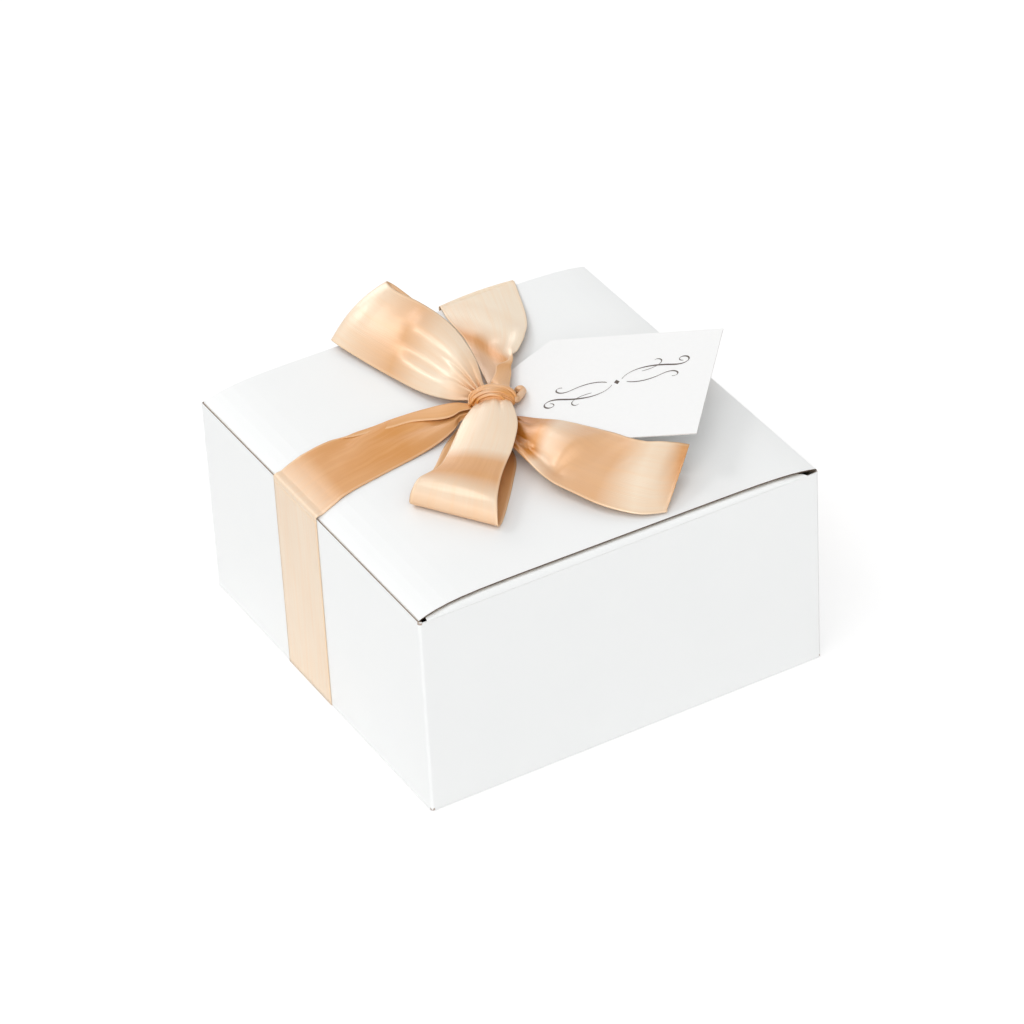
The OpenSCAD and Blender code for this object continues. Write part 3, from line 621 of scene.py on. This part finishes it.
def card_material():
    """Tag paper, a little greyer on its cut sides."""
    s = Shader("tag_paper", IOR=1.45, Specular_IOR_Level=0.3)
    coords = s.node("ShaderNodeTexCoord", "Object")
    normal = s.node("ShaderNodeTexCoord", "Normal")
    side = abs(s.dot(normal, tuple(TAG_UP))).below(FACES_SIDE)
    fibre = s.noise(coords, PAPER_FIBRE, 4.0)
    return s.set(Base_Color=s.blend(side, s.blend(fibre, *PAPER), PAPER_SIDE),
                 Roughness=fibre * 0.1 + 0.6, Normal=s.bump(fibre, 0.1, 0.0002))


def ink_material():
    """Brown-black pen ink that pools a little."""
    s = Shader("pen_ink", IOR=1.45, Specular_IOR_Level=0.25)
    pool = s.noise(s.node("ShaderNodeTexCoord", "Object"), INK_POOL, 3.0)
    return s.set(Base_Color=s.blend(pool, *INK), Roughness=pool * 0.2 + 0.5)


SATIN = []


def satin_slots(obj):
    """The glossy face and the duller back, made once for all strips."""
    if not SATIN:
        SATIN.extend(satin_material(name, *look) for name, look in SATIN_LOOKS.items())
    for material in SATIN:
        obj.data.materials.append(material)


# Strips get an even painted sheen of about a third unless a table of painted light is given
def add_ribbon(name, grid, nodes, body="bow", thickness=SATIN_T,
               flip=False, painted_lights=((0, 0.35),), slant=0.0):
    if flip:
        grid = grid[:, ::-1]
    obj, length = sheet_object("satin_" + name, grid, thickness, painted_lights, slant)
    satin_slots(obj)
    apply_modifiers(obj)
    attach(obj, body)
    if nodes:
        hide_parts(*nodes)


# ---------------------------------------------------------------- add-on

class FAVORBOX_PG_settings(bpy.types.PropertyGroup):
    pleat_gain: bpy.props.FloatProperty(
        name="Pleat depth", description="Share of the spare ribbon width that goes into pleats",
        default=0.8, min=0, max=1, subtype="FACTOR")
    key_light: bpy.props.FloatProperty(
        name="Key light", description="Irradiance of the key light, in watts per square metre",
        default=0.38, min=0, max=4, unit="NONE")


# Liner's side of each panel, and where its raw edges are; see board_material
PANELS = {
    "front_wall": ((0, 1, 0), (0, 0, 1)), "back_wall": ((0, -1, 0), (0, 0, 1)),
    "left_wall": ((1, 0, 0), "crease"), "right_wall": ((-1, 0, 0), "crease"),
    "glue_tab": ((1, 0, 0), None), "lid_panel": ((0, 0, -1), (1, 0, 0)),
    "tuck_flap": ((0, 0.99, 0.12), None),
    "dust_flap_left": ((0, 0, -1), (0, 1, 0)), "dust_flap_right": ((0, 0, -1), (0, 1, 0)),
    "bottom_front_flap": ((0, 0, 1), None), "bottom_back_flap": ((0, 0, 1), None),
    "bottom_left_flap": ((0, 0, 1), None), "bottom_right_flap": ((0, 0, 1), None),
}
FRONT_EDGE_PALENESS = 0.5


class FAVORBOX_OT_carton(bpy.types.Operator):
    """Give the carton's panels coated board with raw edges"""

    bl_idname = "favor_box.carton"
    bl_label = "Carton board"

    def execute(self, context):
        for node, (inside, edge) in PANELS.items():
            paleness = FRONT_EDGE_PALENESS if node == "front_wall" else 0.0
            board = board_material("board_" + node, inside, edge, paleness)
            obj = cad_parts[node]
            obj.data.materials.clear()
            obj.data.materials.append(board)
        return {"FINISHED"}


# Half of the ornament: start, heading in degrees, length, curvature at the start, in the
# middle and at the end, and width. The other half is the same, turned by half a turn.
PEN_STROKES = [
    ((2.2, 1.0), 62, 46, (-0.10, -0.02, 0.62), 1.0),
    ((4.0, -1.2), -38, 30, (0.10, 0.03, -0.62), 0.8),
    ((12.0, 4.6), 4, 17, (0.02, 0.12, 0.75), 0.65),
]
PEN_DOT = [[(0.0, -2.0), (0.0, -2.0)], [(-1.3, 0.0), (1.3, 0.0)], [(0.0, 2.0), (0.0, 2.0)]]
PEN_SLANT, PEN_STEPS, BEND_STATIONS = math.radians(40), 60, (0, 0.55, 1)
ORNAMENT_LEAN, ORNAMENT_AT = math.radians(17), (46.5, 3.5)


def pen_stroke(start, heading, length, bends, width):
    """Left and right edges of a stroke of a broad pen, which thins out at both ends."""
    t = np.linspace(0, 1, PEN_STEPS + 1)
    bend = np.interp(t, BEND_STATIONS, bends)
    turned = np.concatenate([[0], np.cumsum(bend[1:])])
    angle = math.radians(heading) + turned * length / PEN_STEPS
    step = np.stack([np.cos(angle), np.sin(angle)], axis=1) * length / PEN_STEPS
    line = np.array(start) + np.cumsum(step, axis=0)
    nib = np.array([-math.sin(PEN_SLANT), math.cos(PEN_SLANT)])
    press = np.abs(step @ nib) / (length / PEN_STEPS)
    ends = np.sin(math.pi * np.clip(t * 0.96 + 0.03, 0, 1)) ** 0.4
    half = width * (0.16 + 0.5 * press ** 1.5) * ends
    side = np.stack([-step[:, 1], step[:, 0]], axis=1) / (length / PEN_STEPS)
    return np.stack([line - side * half[:, None], line + side * half[:, None]], axis=1)


class FAVORBOX_OT_tag(bpy.types.Operator):
    """Give the tag card its paper and draw the pen ornament on it"""

    bl_idname = "favor_box.tag"
    bl_label = "Tag card"

    def execute(self, context):
        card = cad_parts["tag_card"]
        card.data.materials.clear()
        card.data.materials.append(card_material())
        strokes = []
        for side, half_turn in ((1, 0), (-1, 180)):
            for start, heading, length, bends, width in PEN_STROKES:
                start = [side * v for v in start]
                strokes.append(pen_stroke(start, heading + half_turn, length, bends, width))
        strokes.append(np.array(PEN_DOT))
        c, s = math.cos(ORNAMENT_LEAN), math.sin(ORNAMENT_LEAN)
        turn = np.array([[c, s], [-s, c]])
        height = (TAG_T / 2 + INK_LIFT) * MM
        points, faces = [], []
        for stroke in strokes:
            base = len(points)
            for x, y in stroke.reshape(-1, 2) @ turn + ORNAMENT_AT:
                points.append(TAG @ Vector((x * MM, y * MM, height)))
            faces += [(base + 2 * k, base + 2 * k + 1, base + 2 * k + 3, base + 2 * k + 2)
                      for k in range(len(stroke) - 1)]
        mesh = bpy.data.meshes.new("pen_flourish")
        mesh.from_pydata(points, [], faces)
        ink = bpy.data.objects.new("pen_flourish", mesh)
        context.scene.collection.objects.link(ink)
        select(ink)
        shell = ink.modifiers.new("Thickness", "SOLIDIFY")
        shell.thickness = INK_T * MM
        apply_modifiers(ink)
        ink.data.materials.append(ink_material())
        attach(ink, "tag")
        return {"FINISHED"}


class FAVORBOX_OT_band(bpy.types.Operator):
    """Lay the ribbon down the front, under the bottom and up the back"""

    bl_idname = "favor_box.band"
    bl_label = "Ribbon band"

    def execute(self, context):
        y, z = DROP_Y + RIBBON_T / 2, RIBBON_T / 2
        drop = [flat_row(-y, h) for h in np.linspace(RIBBON_T, SPLIT_Z - WRAP_GAP, 8)]
        rise = [flat_row(y, h) for h in np.linspace(RIBBON_T, HINGE_Z - 1, 8)]
        under = [flat_row(h, z) for h in np.linspace(-DROP_Y, DROP_Y, 12)]
        strips = (("front_drop", drop, "front_wall", False),
                  ("bottom_run", under, "back_wall", True),
                  ("back_rise", rise, "back_wall", True))
        for name, rows, wall, flip in strips:
            grid = ribbon_grid(rows, 0, fine=5, across=24, gain=0, ground=False)
            # A strong painted sheen all along the band
            add_ribbon(name, grid, ["ribbon_" + name], "ribbon_band",
                       flip=flip, painted_lights=((0, 0.92), (1, 0.85)))
        return {"FINISHED"}


class FAVORBOX_OT_runs(bpy.types.Operator):
    """Lay the ribbon over the lid from both edges to the knot"""

    bl_idname = "favor_box.runs"
    bl_label = "Ribbon runs"

    def execute(self, context):
        gain = context.scene.favor_box.pleat_gain
        keys = [(0, FLAT), (7.6, FLAT), (9.0, LIFTED), (10.4, TURNED), (11.8, LAPPED),
                (14, DOUBLED), (16, DOUBLED)]
        folds = [
            (-0.8, 0.06, [(9.6, 0.60), (11.0, 0.66), (13.0, 0.70), (16, 0.7)]),
            (0.9, 0.12, [(8.6, 0.42), (10.0, 0.46), (12.0, 0.52), (15, 0.6)]),
            (0.5, 0.05, [(10.4, 0.86), (12.0, 0.86), (16, 0.84)]),
        ]
        grid = ribbon_grid(front_rows(), -1, keys=keys, pleats=2, gain=gain * CALM_PLEATS,
                           seed=2, folds=folds, near=[(13.6, 0), (15.5, 0.8)],
                           crown=[(0, 0), (8, 0), (10.5, 0.25), (16, 0.25)])
        # Painted sheen on the fold over the lid's front edge, little of it on the flat run
        add_ribbon("front_run", grid, ["ribbon_front_run"],
                   painted_lights=[(0, 0.9), (0.06, 0.6), (0.2, 0.1), (0.6, 0.02), (0.8, 0.15), (1, 0.1)])
        grid = ribbon_grid(back_rows(), 0, fine=8, gain=0)
        add_ribbon("back_run", grid, ["ribbon_back_run"], flip=True)
        return {"FINISHED"}


class FAVORBOX_OT_loops(bpy.types.Operator):
    """Form the two loops of the bow"""

    bl_idname = "favor_box.loops"
    bl_label = "Bow loops"

    def execute(self, context):
        gain = context.scene.favor_box.pleat_gain
        rows = [bow_row(s, RIBBON_W) for s in LOOP_LEFT]
        folds = [
            (2.6, 0.26, [(2.6, 0.24), (3.9, 0.28), (5.4, 0.32)]),
            (1.7, 0.15, [(2.6, 0.82), (3.9, 0.80), (5.2, 0.78)]),
            (-1.4, 0.14, [(3.0, 0.62), (4.1, 0.60), (5.2, 0.58)]),
            (-1.5, 0.035, [(-2, 0.42), (2.0, 0.40), (3.2, 0.42), (4.3, 0.46)]),
            (-1.2, 0.035, [(-2, 0.58), (2.0, 0.60), (2.9, 0.62), (3.7, 0.68)]),
            (-1.0, 0.04, [(-2, 0.22), (1.6, 0.22), (2.6, 0.18), (3.6, 0.14)]),
            (1.0, 0.03, [(-2, 0.50), (1.6, 0.50), (2.6, 0.52), (3.5, 0.55)]),
            (-0.9, 0.6, [(4.6, 0.4), (5.5, 0.4), (6.4, 0.4)]),
        ]
        near = [(0, 1), (1.4, 1), (3.2, 0), (11, 0), (13, 0.8), (15, 1)]
        grid = ribbon_grid(rows, 1, gain=gain, shift=0.1, folds=folds, near=near)
        # Painted sheen where the left loop catches highlights, with darker bands between them
        add_ribbon("loop_left", grid, ["bow_loop_left"], flip=True,
                   painted_lights=[(0, 0.35), (0.08, 0.5), (0.14, 0.95), (0.22, 0.75), (0.30, 0.25),
                          (0.40, 0.6), (0.46, 0.9), (0.5, 0.8), (0.56, 0.3), (1, 0.2)])
        rows = [bow_row(s, RIBBON_W) for s in LOOP_FRONT]
        folds = [
            (-0.7, 0.9, [(2.6, 0.4), (3.5, 0.5), (4.4, 0.5)]),
            (1.0, 1.2, [(4.4, 0.5), (5.6, 0.5), (6.8, 0.5)]),
            (-0.5, 0.05, [(-1, 0.2), (0.8, 0.2), (1.7, 0.16)]),
            (-0.6, 0.05, [(-1, 0.68), (0.9, 0.68), (1.9, 0.70)]),
        ]
        near = [(0, 0.2), (0.8, 0.1), (1.4, 0), (11, 0), (13, 1)]
        grid = ribbon_grid(rows, 1, gain=gain, shift=0.6, seed=3, folds=folds, near=near,
                           crown=[(0, 0.45)])
        # Painted sheen on the front loop's top by the knot and on its fold, with a darker band
        # between
        add_ribbon("loop_front", grid, ["bow_loop_front"], flip=True,
                   painted_lights=[(0, 0.5), (0.08, 0.85), (0.26, 0.85), (0.31, 0.2), (0.38, 0.15),
                          (0.43, 0.6), (0.46, 0.85), (0.5, 0.6), (0.55, 0.3), (1, 0.1)])
        return {"FINISHED"}


# Where the right tail can lie on the tag, in metres: along it from the hole, and to each side
TAG_BACK, TAG_FRONT, TAG_SIDE = -0.010, 0.066, 0.0455


def off_tag(points):
    """Lifts the points of a strip that are over the tag off its face."""
    local = np.array([TO_TAG @ Vector(q * MM) for q in points])
    x, y = local[:, 0], local[:, 1]
    on = (x > TAG_BACK) & (x < TAG_FRONT) & (np.abs(y) < TAG_SIDE)
    low = tag_z(points[:, 0], points[:, 1]) + TAG_T / 2 + SEAT_GAP
    points[:, 2] = np.where(on, np.maximum(points[:, 2], low), points[:, 2])
    return points


# The right tail's cut end: how uneven it is, and where it starts, as shares of its last rows
CUT_SEED, CUT_SPREAD, CUT_START, CUT_ROWS = 4, 0.16, 0.05, 3


class FAVORBOX_OT_tails(bpy.types.Operator):
    """Lay the two tails of the bow"""

    bl_idname = "favor_box.tails"
    bl_label = "Bow tails"

    def execute(self, context):
        gain = context.scene.favor_box.pleat_gain
        keys = [(0, PETAL), (1.5, PETAL), (2.45, OPENED), (2.95, HINGED), (3.4, FLAT), (11, FLAT)]
        folds = [
            (1.3, 0.12, [(2.6, 0.90), (3.6, 0.92), (4.6, 0.94)]),
            (-1.2, 0.20, [(2.4, 0.30), (3.2, 0.34), (4.2, 0.42)]),
            (1.0, 0.5, [(3.6, 0.8), (4.6, 0.8), (5.8, 0.6)]),
        ]
        near = [(0, 0.4), (1.6, 0.2), (3.0, 0), (11, 0)]
        grid = ribbon_grid(tail_left_rows(), -1, keys=keys, pleats=2.5, gain=gain * CALM_PLEATS,
                           seed=5, folds=folds, near=near, crown=[(0, 0.4)])
        # Painted shade in the gather by the knot, then painted sheen over the left tail's top,
        # slanted across it
        add_ribbon("tail_left", grid, ["bow_tail_left"],
                   painted_lights=[(0, 0.45), (0.26, 0.3), (0.36, -0.1), (0.45, 0.7), (0.55, 1.0),
                          (0.66, 0.9), (0.72, 1.0), (1, 1.0)], slant=0.29)

        folds = [
            (1.8, 0.24, [(2.4, 0.30), (3.4, 0.38), (4.5, 0.42)]),
            (-1.2, 0.12, [(1.6, 0.76), (3.4, 0.76), (4.8, 0.80)]),
            (2.8, 0.09, [(0.4, 0.92), (2.8, 0.95), (4.9, 1.02)]),
            (-1.0, 0.06, [(1.0, 0.74), (3.0, 0.78), (4.8, 0.86)]),
            (-0.8, 0.5, [(4.1, 0.3), (4.8, 0.3), (5.6, 0.3)]),
            (1.2, 0.40, [(5.2, 0.30), (6.2, 0.35), (7.2, 0.40)]),
        ]
        near = [(0, 1), (1.2, 0.8), (2.6, 0), (11, 0)]
        grid = ribbon_grid(tail_right_rows(), -1, pleats=2.5, gain=gain, seed=7, rest=off_tag,
                           folds=folds, near=near, crown=[(0, 0.6)])
        uneven = np.random.default_rng(CUT_SEED).random((grid.shape[1], 1))
        grid[-1] += (grid[-1] - grid[-1 - CUT_ROWS]) * (CUT_SPREAD * uneven - CUT_START)
        # Painted shadow where the front loop shades the right tail's start, then bands of painted
        # sheen
        add_ribbon("tail_right", grid, ["bow_tail_right"],
                   painted_lights=[(0, -0.8), (0.22, -1.0), (0.30, 0.0), (0.37, 0.7), (0.5, 0.3),
                          (0.7, 0.3), (0.83, 0.9), (0.9, 0.8), (1, 0.15)], slant=-0.15)
        return {"FINISHED"}


# Strands that lie on the wrap: size, then stations of angle round it, place along its axis
# and share of its radius
KNOT_STRANDS = {
    "top": (0.86, (
        (215, 1.5, 0.9), (180, 1.0, 1.0), (150, -1.6, 1.04), (122, -3.2, 1.10), (95, -3.9, 1.14),
        (65, -3.6, 1.14), (38, -2.4, 1.10), (12, -0.4, 1.04), (-20, 2.0, 0.94), (-50, 3.0, 0.8))),
    "middle": (0.66, (
        (210, 3.2, 0.8), (185, 2.8, 0.98), (158, 1.0, 1.08), (130, -1.2, 1.10), (100, -2.0, 1.10),
        (70, -1.5, 1.08), (42, 0.2, 1.04), (18, 1.4, 1.0), (-15, 2.4, 0.85))),
    "low": (0.60, (
        (205, 4.4, 0.7), (178, 4.4, 0.92), (150, 3.2, 1.02), (122, 1.4, 1.06), (95, 0.2, 1.07),
        (68, 0.0, 1.04), (44, 1.2, 0.98), (25, 2.6, 0.86))),
    "cross": (0.56, (
        (160, 5.0, 0.7), (140, 4.8, 0.88), (118, 3.6, 0.98), (95, 2.4, 1.02), (72, 2.6, 0.96),
        (52, 3.8, 0.84), (35, 4.6, 0.66))),
    "inner": (0.58, (
        (200, 2.2, 0.86), (172, 1.8, 1.02), (146, 0.4, 1.10), (120, -1.4, 1.13), (92, -3.0, 1.12),
        (66, -2.6, 1.11), (44, -0.6, 1.06), (16, 0.4, 1.02), (-16, 1.2, 0.9))),
    "thin": (0.46, (
        (196, 4.0, 0.86), (168, 3.6, 1.0), (142, 2.4, 1.08), (116, 0.6, 1.10), (92, -0.9, 1.11),
        (66, -0.6, 1.08), (44, 0.9, 1.03), (22, 1.8, 0.96))),
    "lobe": (0.68, (
        (135, -2.6, 0.94), (155, -3.0, 1.06), (176, -1.4, 1.12), (192, 1.0, 1.10),
        (190, 3.4, 1.04), (172, 4.6, 1.02), (152, 4.0, 1.02), (140, 2.2, 0.98))),
}
# The wrap, from the knot's middle: its place along the axis and up, its share of the knot's
# size, how round its barrel is, and the depth of the grooves between its folds
WRAP_AXIS, WRAP_UP, WRAP_WIDE, WRAP_HIGH, WRAP_LONG = -3.4, 0.6, 0.97, 1.08, 1.25
WRAP_ROUND, WRAP_ACROSS, WRAP_FOLDS, WRAP_FLAT_W = 120, 84, 7.5, 13
WRAP_RIM, WRAP_BELLY, WRAP_BARREL, WRAP_GROOVE, WRAP_LOBE = 0.42, 0.56, 0.94, 0.20, 0.10
STRAND_TURNS, STRAND_FLAT_W, STRAND_SPREAD = 1.25, 10, 0.94
ROLL_STEPS, ROLL_SHRINK = 36, 0.3

# The hanger: last stations of its path from the tag's hole (towards the knot, out of the tag)
HANGER_PATH = [(4.2, 2.6), (2.6, 3.4), (0.6, 1.6), (0, -1.2)]
HANGER_HEADING = math.radians(-KNOT_HEADING - 10)
HANGER_TURNS, HANGER_FLAT_W, HANGER_R, HANGER_TAPER, HANGER_FLATNESS = 1.4, 14, 2.0, 0.8, 0.85


def knot_frame():
    """Middle of the knot and its axis, flank and up directions, in millimetres."""
    a = math.radians(KNOT_HEADING)
    c, s = math.cos(a), math.sin(a)
    z = tag_z(KNOT_X, KNOT_Y) + TAG_T / 2 + 2 * SEAT_GAP + KNOT_H / 2
    return (np.array([KNOT_X, KNOT_Y, z]), np.array([c, s, 0]), np.array([-s, c, 0]),
            np.array([0, 0, 1.0]))


def rolled_strip(path, wide, high, side, turns):
    """Strip rolled up round a path into a soft flat roll, with the two radii along it."""
    grid = []
    for i, p in enumerate(path):
        d = path[min(len(path) - 1, i + 1)] - path[max(0, i - 1)]
        d /= np.linalg.norm(d)
        u = np.cross(d, side)
        u /= np.linalg.norm(u)
        v = np.cross(d, u)
        row = []
        for j in range(ROLL_STEPS + 1):
            w = 2 * math.pi * turns * j / ROLL_STEPS
            shrink = 1 - ROLL_SHRINK * j / ROLL_STEPS
            row.append(p + shrink * (wide[i] * v * math.cos(w) + high[i] * u * math.sin(w)))
        grid.append(row)
    return np.array(grid)


def wrap_grid(middle, axis, flank, up):
    """The wrap round the knot: a barrel with slanting folds and a fuller left side."""
    grid = []
    for k in range(WRAP_ROUND + 1):
        turn = 2 * math.pi * k / WRAP_ROUND - math.pi / 2
        c, s = math.cos(turn), math.sin(turn)
        row = []
        for j in range(WRAP_ACROSS + 1):
            t = j / WRAP_ACROSS
            belly = math.sqrt(max(0.0, 1 - WRAP_BARREL * (2 * t - 1) ** 2))
            fold = WRAP_FOLDS * t + 0.22 * c + 0.1 * math.sin(2 * turn + 1)
            groove = (1 - abs(math.sin(math.pi * fold))) ** 1.6
            lobe = WRAP_LOBE * max(0, -c) ** 3
            r = WRAP_RIM + WRAP_BELLY * belly * (1 - WRAP_GROOVE * groove) + lobe * belly
            x = WRAP_LONG * WRAP_LEN * (t - 0.5) * (1 - 0.18 * abs(c))
            x += 1.2 * c ** 2 + 0.5 * math.sin(turn + 3 * t)
            row.append(middle + axis * x + flank * (WRAP_WIDE * KNOT_W / 2 * r * c)
                       + up * (WRAP_HIGH * KNOT_H / 2 * r * s))
        grid.append(row)
    return np.array(grid)


class FAVORBOX_OT_knot(bpy.types.Operator):
    """Wind the wrap round the knot and lay its strands over it"""

    bl_idname = "favor_box.knot"
    bl_label = "Knot"

    def execute(self, context):
        centre, axis, flank, up = knot_frame()
        middle = centre + WRAP_AXIS * axis + WRAP_UP * up
        # The wrap is half in painted deep shade, as under its strands
        add_ribbon("knot_wrap", wrap_grid(middle, axis, flank, up), ["knot_wrap", "knot_core"],
                   flip=True, painted_lights=((0, -0.5),))
        for name, (size, stations) in KNOT_STRANDS.items():
            line = []
            for angle, x, r in stations:
                c, s = math.cos(math.radians(angle)), math.sin(math.radians(angle))
                line.append(middle + axis * x + flank * (STRAND_SPREAD * KNOT_W / 2 * r * c)
                            + up * (KNOT_H / 2 * r * s))
            path = smooth(line, 6)
            swell = np.sin(np.linspace(0.25, math.pi - 0.25, len(path)))
            strand = rolled_strip(path, size * (0.7 + 0.9 * swell), size * (0.5 + 0.45 * swell),
                                  axis, STRAND_TURNS / size)
            # Painted shade at the strands' ends, where they dip into the knot, and painted sheen
            # over their middles
            add_ribbon("knot_" + name, strand, [],
                       thickness=ROLLED_T, flip=True,
                       painted_lights=((0, -0.1), (0.5, 0.35), (1, -0.2)))
        return {"FINISHED"}


class FAVORBOX_OT_hanger(bpy.types.Operator):
    """Roll the strip that hangs the tag from the knot"""

    bl_idname = "favor_box.hanger"
    bl_label = "Tag hanger"

    def execute(self, context):
        centre, axis, flank, up = knot_frame()
        c, s = math.cos(HANGER_HEADING), math.sin(HANGER_HEADING)
        to, side = np.array([c, s, 0]), np.array([-s, c, 0])
        start = centre + (KNOT_W / 2 - 3) * flank - 3.5 * axis + 0.5 * up
        stations = [start, start + 3 * flank - 0.6 * axis]
        stations += [HOLE + away * to + out * TAG_UP for away, out in HANGER_PATH]
        path = smooth(stations, 8)
        t = np.linspace(0, 1, len(path))
        size = HANGER_R - HANGER_TAPER * ease((t - 0.5) / 0.45)
        strip = rolled_strip(path, size, size * HANGER_FLATNESS, side, HANGER_TURNS)
        add_ribbon("hanger", strip, ["tag_hanger"],
                   thickness=ROLLED_T, flip=True)
        return {"FINISHED"}


# The camera, as solved on the carton's corners: degrees, millimetres from the origin, and a
# focal length in pixels of a frame
CAMERA_AZIMUTH, CAMERA_ELEVATION, CAMERA_ROLL = 61.64, 35.37, -3.21
CAMERA_AWAY, CAMERA_LEFT, CAMERA_UP = 2334.8, 1.56, 49.8
FOCAL_PX, FRAME_PX, SENSOR_W = 5050, 1024, 36

# Soft suns besides the key: name, energy, angle in degrees and direction
KEY_ANGLE, KEY_FROM = 14, (-0.60, -0.42, 0.70)
SUNS = (
    ("overhead", 0.85, 56, (0.30, -0.36, 0.88)),
    ("window", 0.4, 24, (-0.92, 0.04, 0.39)),
    ("fill", 1.3, 80, (0.76, -0.58, 0.28)),
)
FLOOR_SIZE, FLOOR_Z = 12, -0.00002


def add_camera(scene):
    a, e, roll = (math.radians(v) for v in (CAMERA_AZIMUTH, CAMERA_ELEVATION, CAMERA_ROLL))
    back = Vector((math.sin(a) * math.cos(e), -math.cos(a) * math.cos(e), math.sin(e)))
    right = (-back).cross(Vector((0, 0, 1))).normalized()
    up = right.cross(-back)
    c, s = math.cos(roll), math.sin(roll)
    right, up = c * right + s * up, c * up - s * right
    place = (back * CAMERA_AWAY - right * CAMERA_LEFT + up * CAMERA_UP) * MM
    bpy.ops.object.camera_add()
    camera = bpy.context.object
    camera.name = "camera"
    turn = Matrix((right, up, back)).transposed().to_4x4()
    camera.matrix_world = Matrix.Translation(place) @ turn
    camera.data.lens = FOCAL_PX / FRAME_PX * SENSOR_W
    camera.data.sensor_width = SENSOR_W
    scene.camera = camera


def add_sun(name, energy, angle, direction):
    bpy.ops.object.light_add(type="SUN")
    lamp = bpy.context.object
    lamp.name = name
    lamp.data.energy = energy
    lamp.data.angle = math.radians(angle)
    lamp.rotation_euler = Vector(direction).to_track_quat("Z", "Y").to_euler()


class FAVORBOX_OT_stage(bpy.types.Operator):
    """Set the camera, the lights, the white floor and the white background"""

    bl_idname = "favor_box.stage"
    bl_label = "Stage"

    def execute(self, context):
        scene = context.scene
        add_camera(scene)
        add_sun("key", scene.favor_box.key_light, KEY_ANGLE, KEY_FROM)
        for sun in SUNS:
            add_sun(*sun)

        scene.world = bpy.data.worlds.new("studio")
        world = Graph(scene.world, "ShaderNodeOutputWorld")
        lit = world.node("ShaderNodeBackground", Color=WHITE, Strength=WORLD_LIGHT)
        seen = world.node("ShaderNodeBackground", Color=WHITE)
        world.choose(world.backdrop(), lit, seen)

        bpy.ops.mesh.primitive_plane_add(size=FLOOR_SIZE, location=(0, 0, FLOOR_Z))
        floor = context.object
        floor.name = "floor"
        s = Shader("floor_white", Base_Color=FLOOR_LIT, Roughness=0.9, Specular_IOR_Level=0)
        glow = s.node("ShaderNodeEmission", Strength=FLOOR_GLOW)
        paper = s.node("ShaderNodeBsdfDiffuse", Color=FLOOR_SEEN)
        both = s.node("ShaderNodeAddShader", _0=glow, _1=paper)
        s.choose(s.backdrop(), Value(s, s.bsdf.outputs[0]), both)
        floor.data.materials.append(s.material)
        scene.view_settings.view_transform = "Standard"
        return {"FINISHED"}


class FAVORBOX_PT_panel(bpy.types.Panel):
    """Lists the settings and the builders of the favor box"""

    bl_idname = "FAVORBOX_PT_panel"
    bl_label = "Favor Box"
    bl_space_type = "VIEW_3D"
    bl_region_type = "UI"
    bl_category = "Favor Box"

    def draw(self, context):
        for name in ("pleat_gain", "key_light"):
            self.layout.prop(context.scene.favor_box, name)
        for operator in OPERATORS:
            self.layout.operator(operator.bl_idname)


OPERATORS = (
    FAVORBOX_OT_stage, FAVORBOX_OT_carton, FAVORBOX_OT_tag, FAVORBOX_OT_band, FAVORBOX_OT_runs,
    FAVORBOX_OT_loops, FAVORBOX_OT_tails, FAVORBOX_OT_knot, FAVORBOX_OT_hanger,
)
CLASSES = (FAVORBOX_PG_settings, *OPERATORS, FAVORBOX_PT_panel)


def register():
    for cls in CLASSES:
        bpy.utils.register_class(cls)
    bpy.types.Scene.favor_box = bpy.props.PointerProperty(type=FAVORBOX_PG_settings)


def unregister():
    del bpy.types.Scene.favor_box
    for cls in reversed(CLASSES):
        bpy.utils.unregister_class(cls)


def main():
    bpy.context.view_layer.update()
    register()
    for operator in OPERATORS:
        getattr(bpy.ops.favor_box, operator.bl_idname.split(".")[1])()


if __name__ == "__main__":
    main()
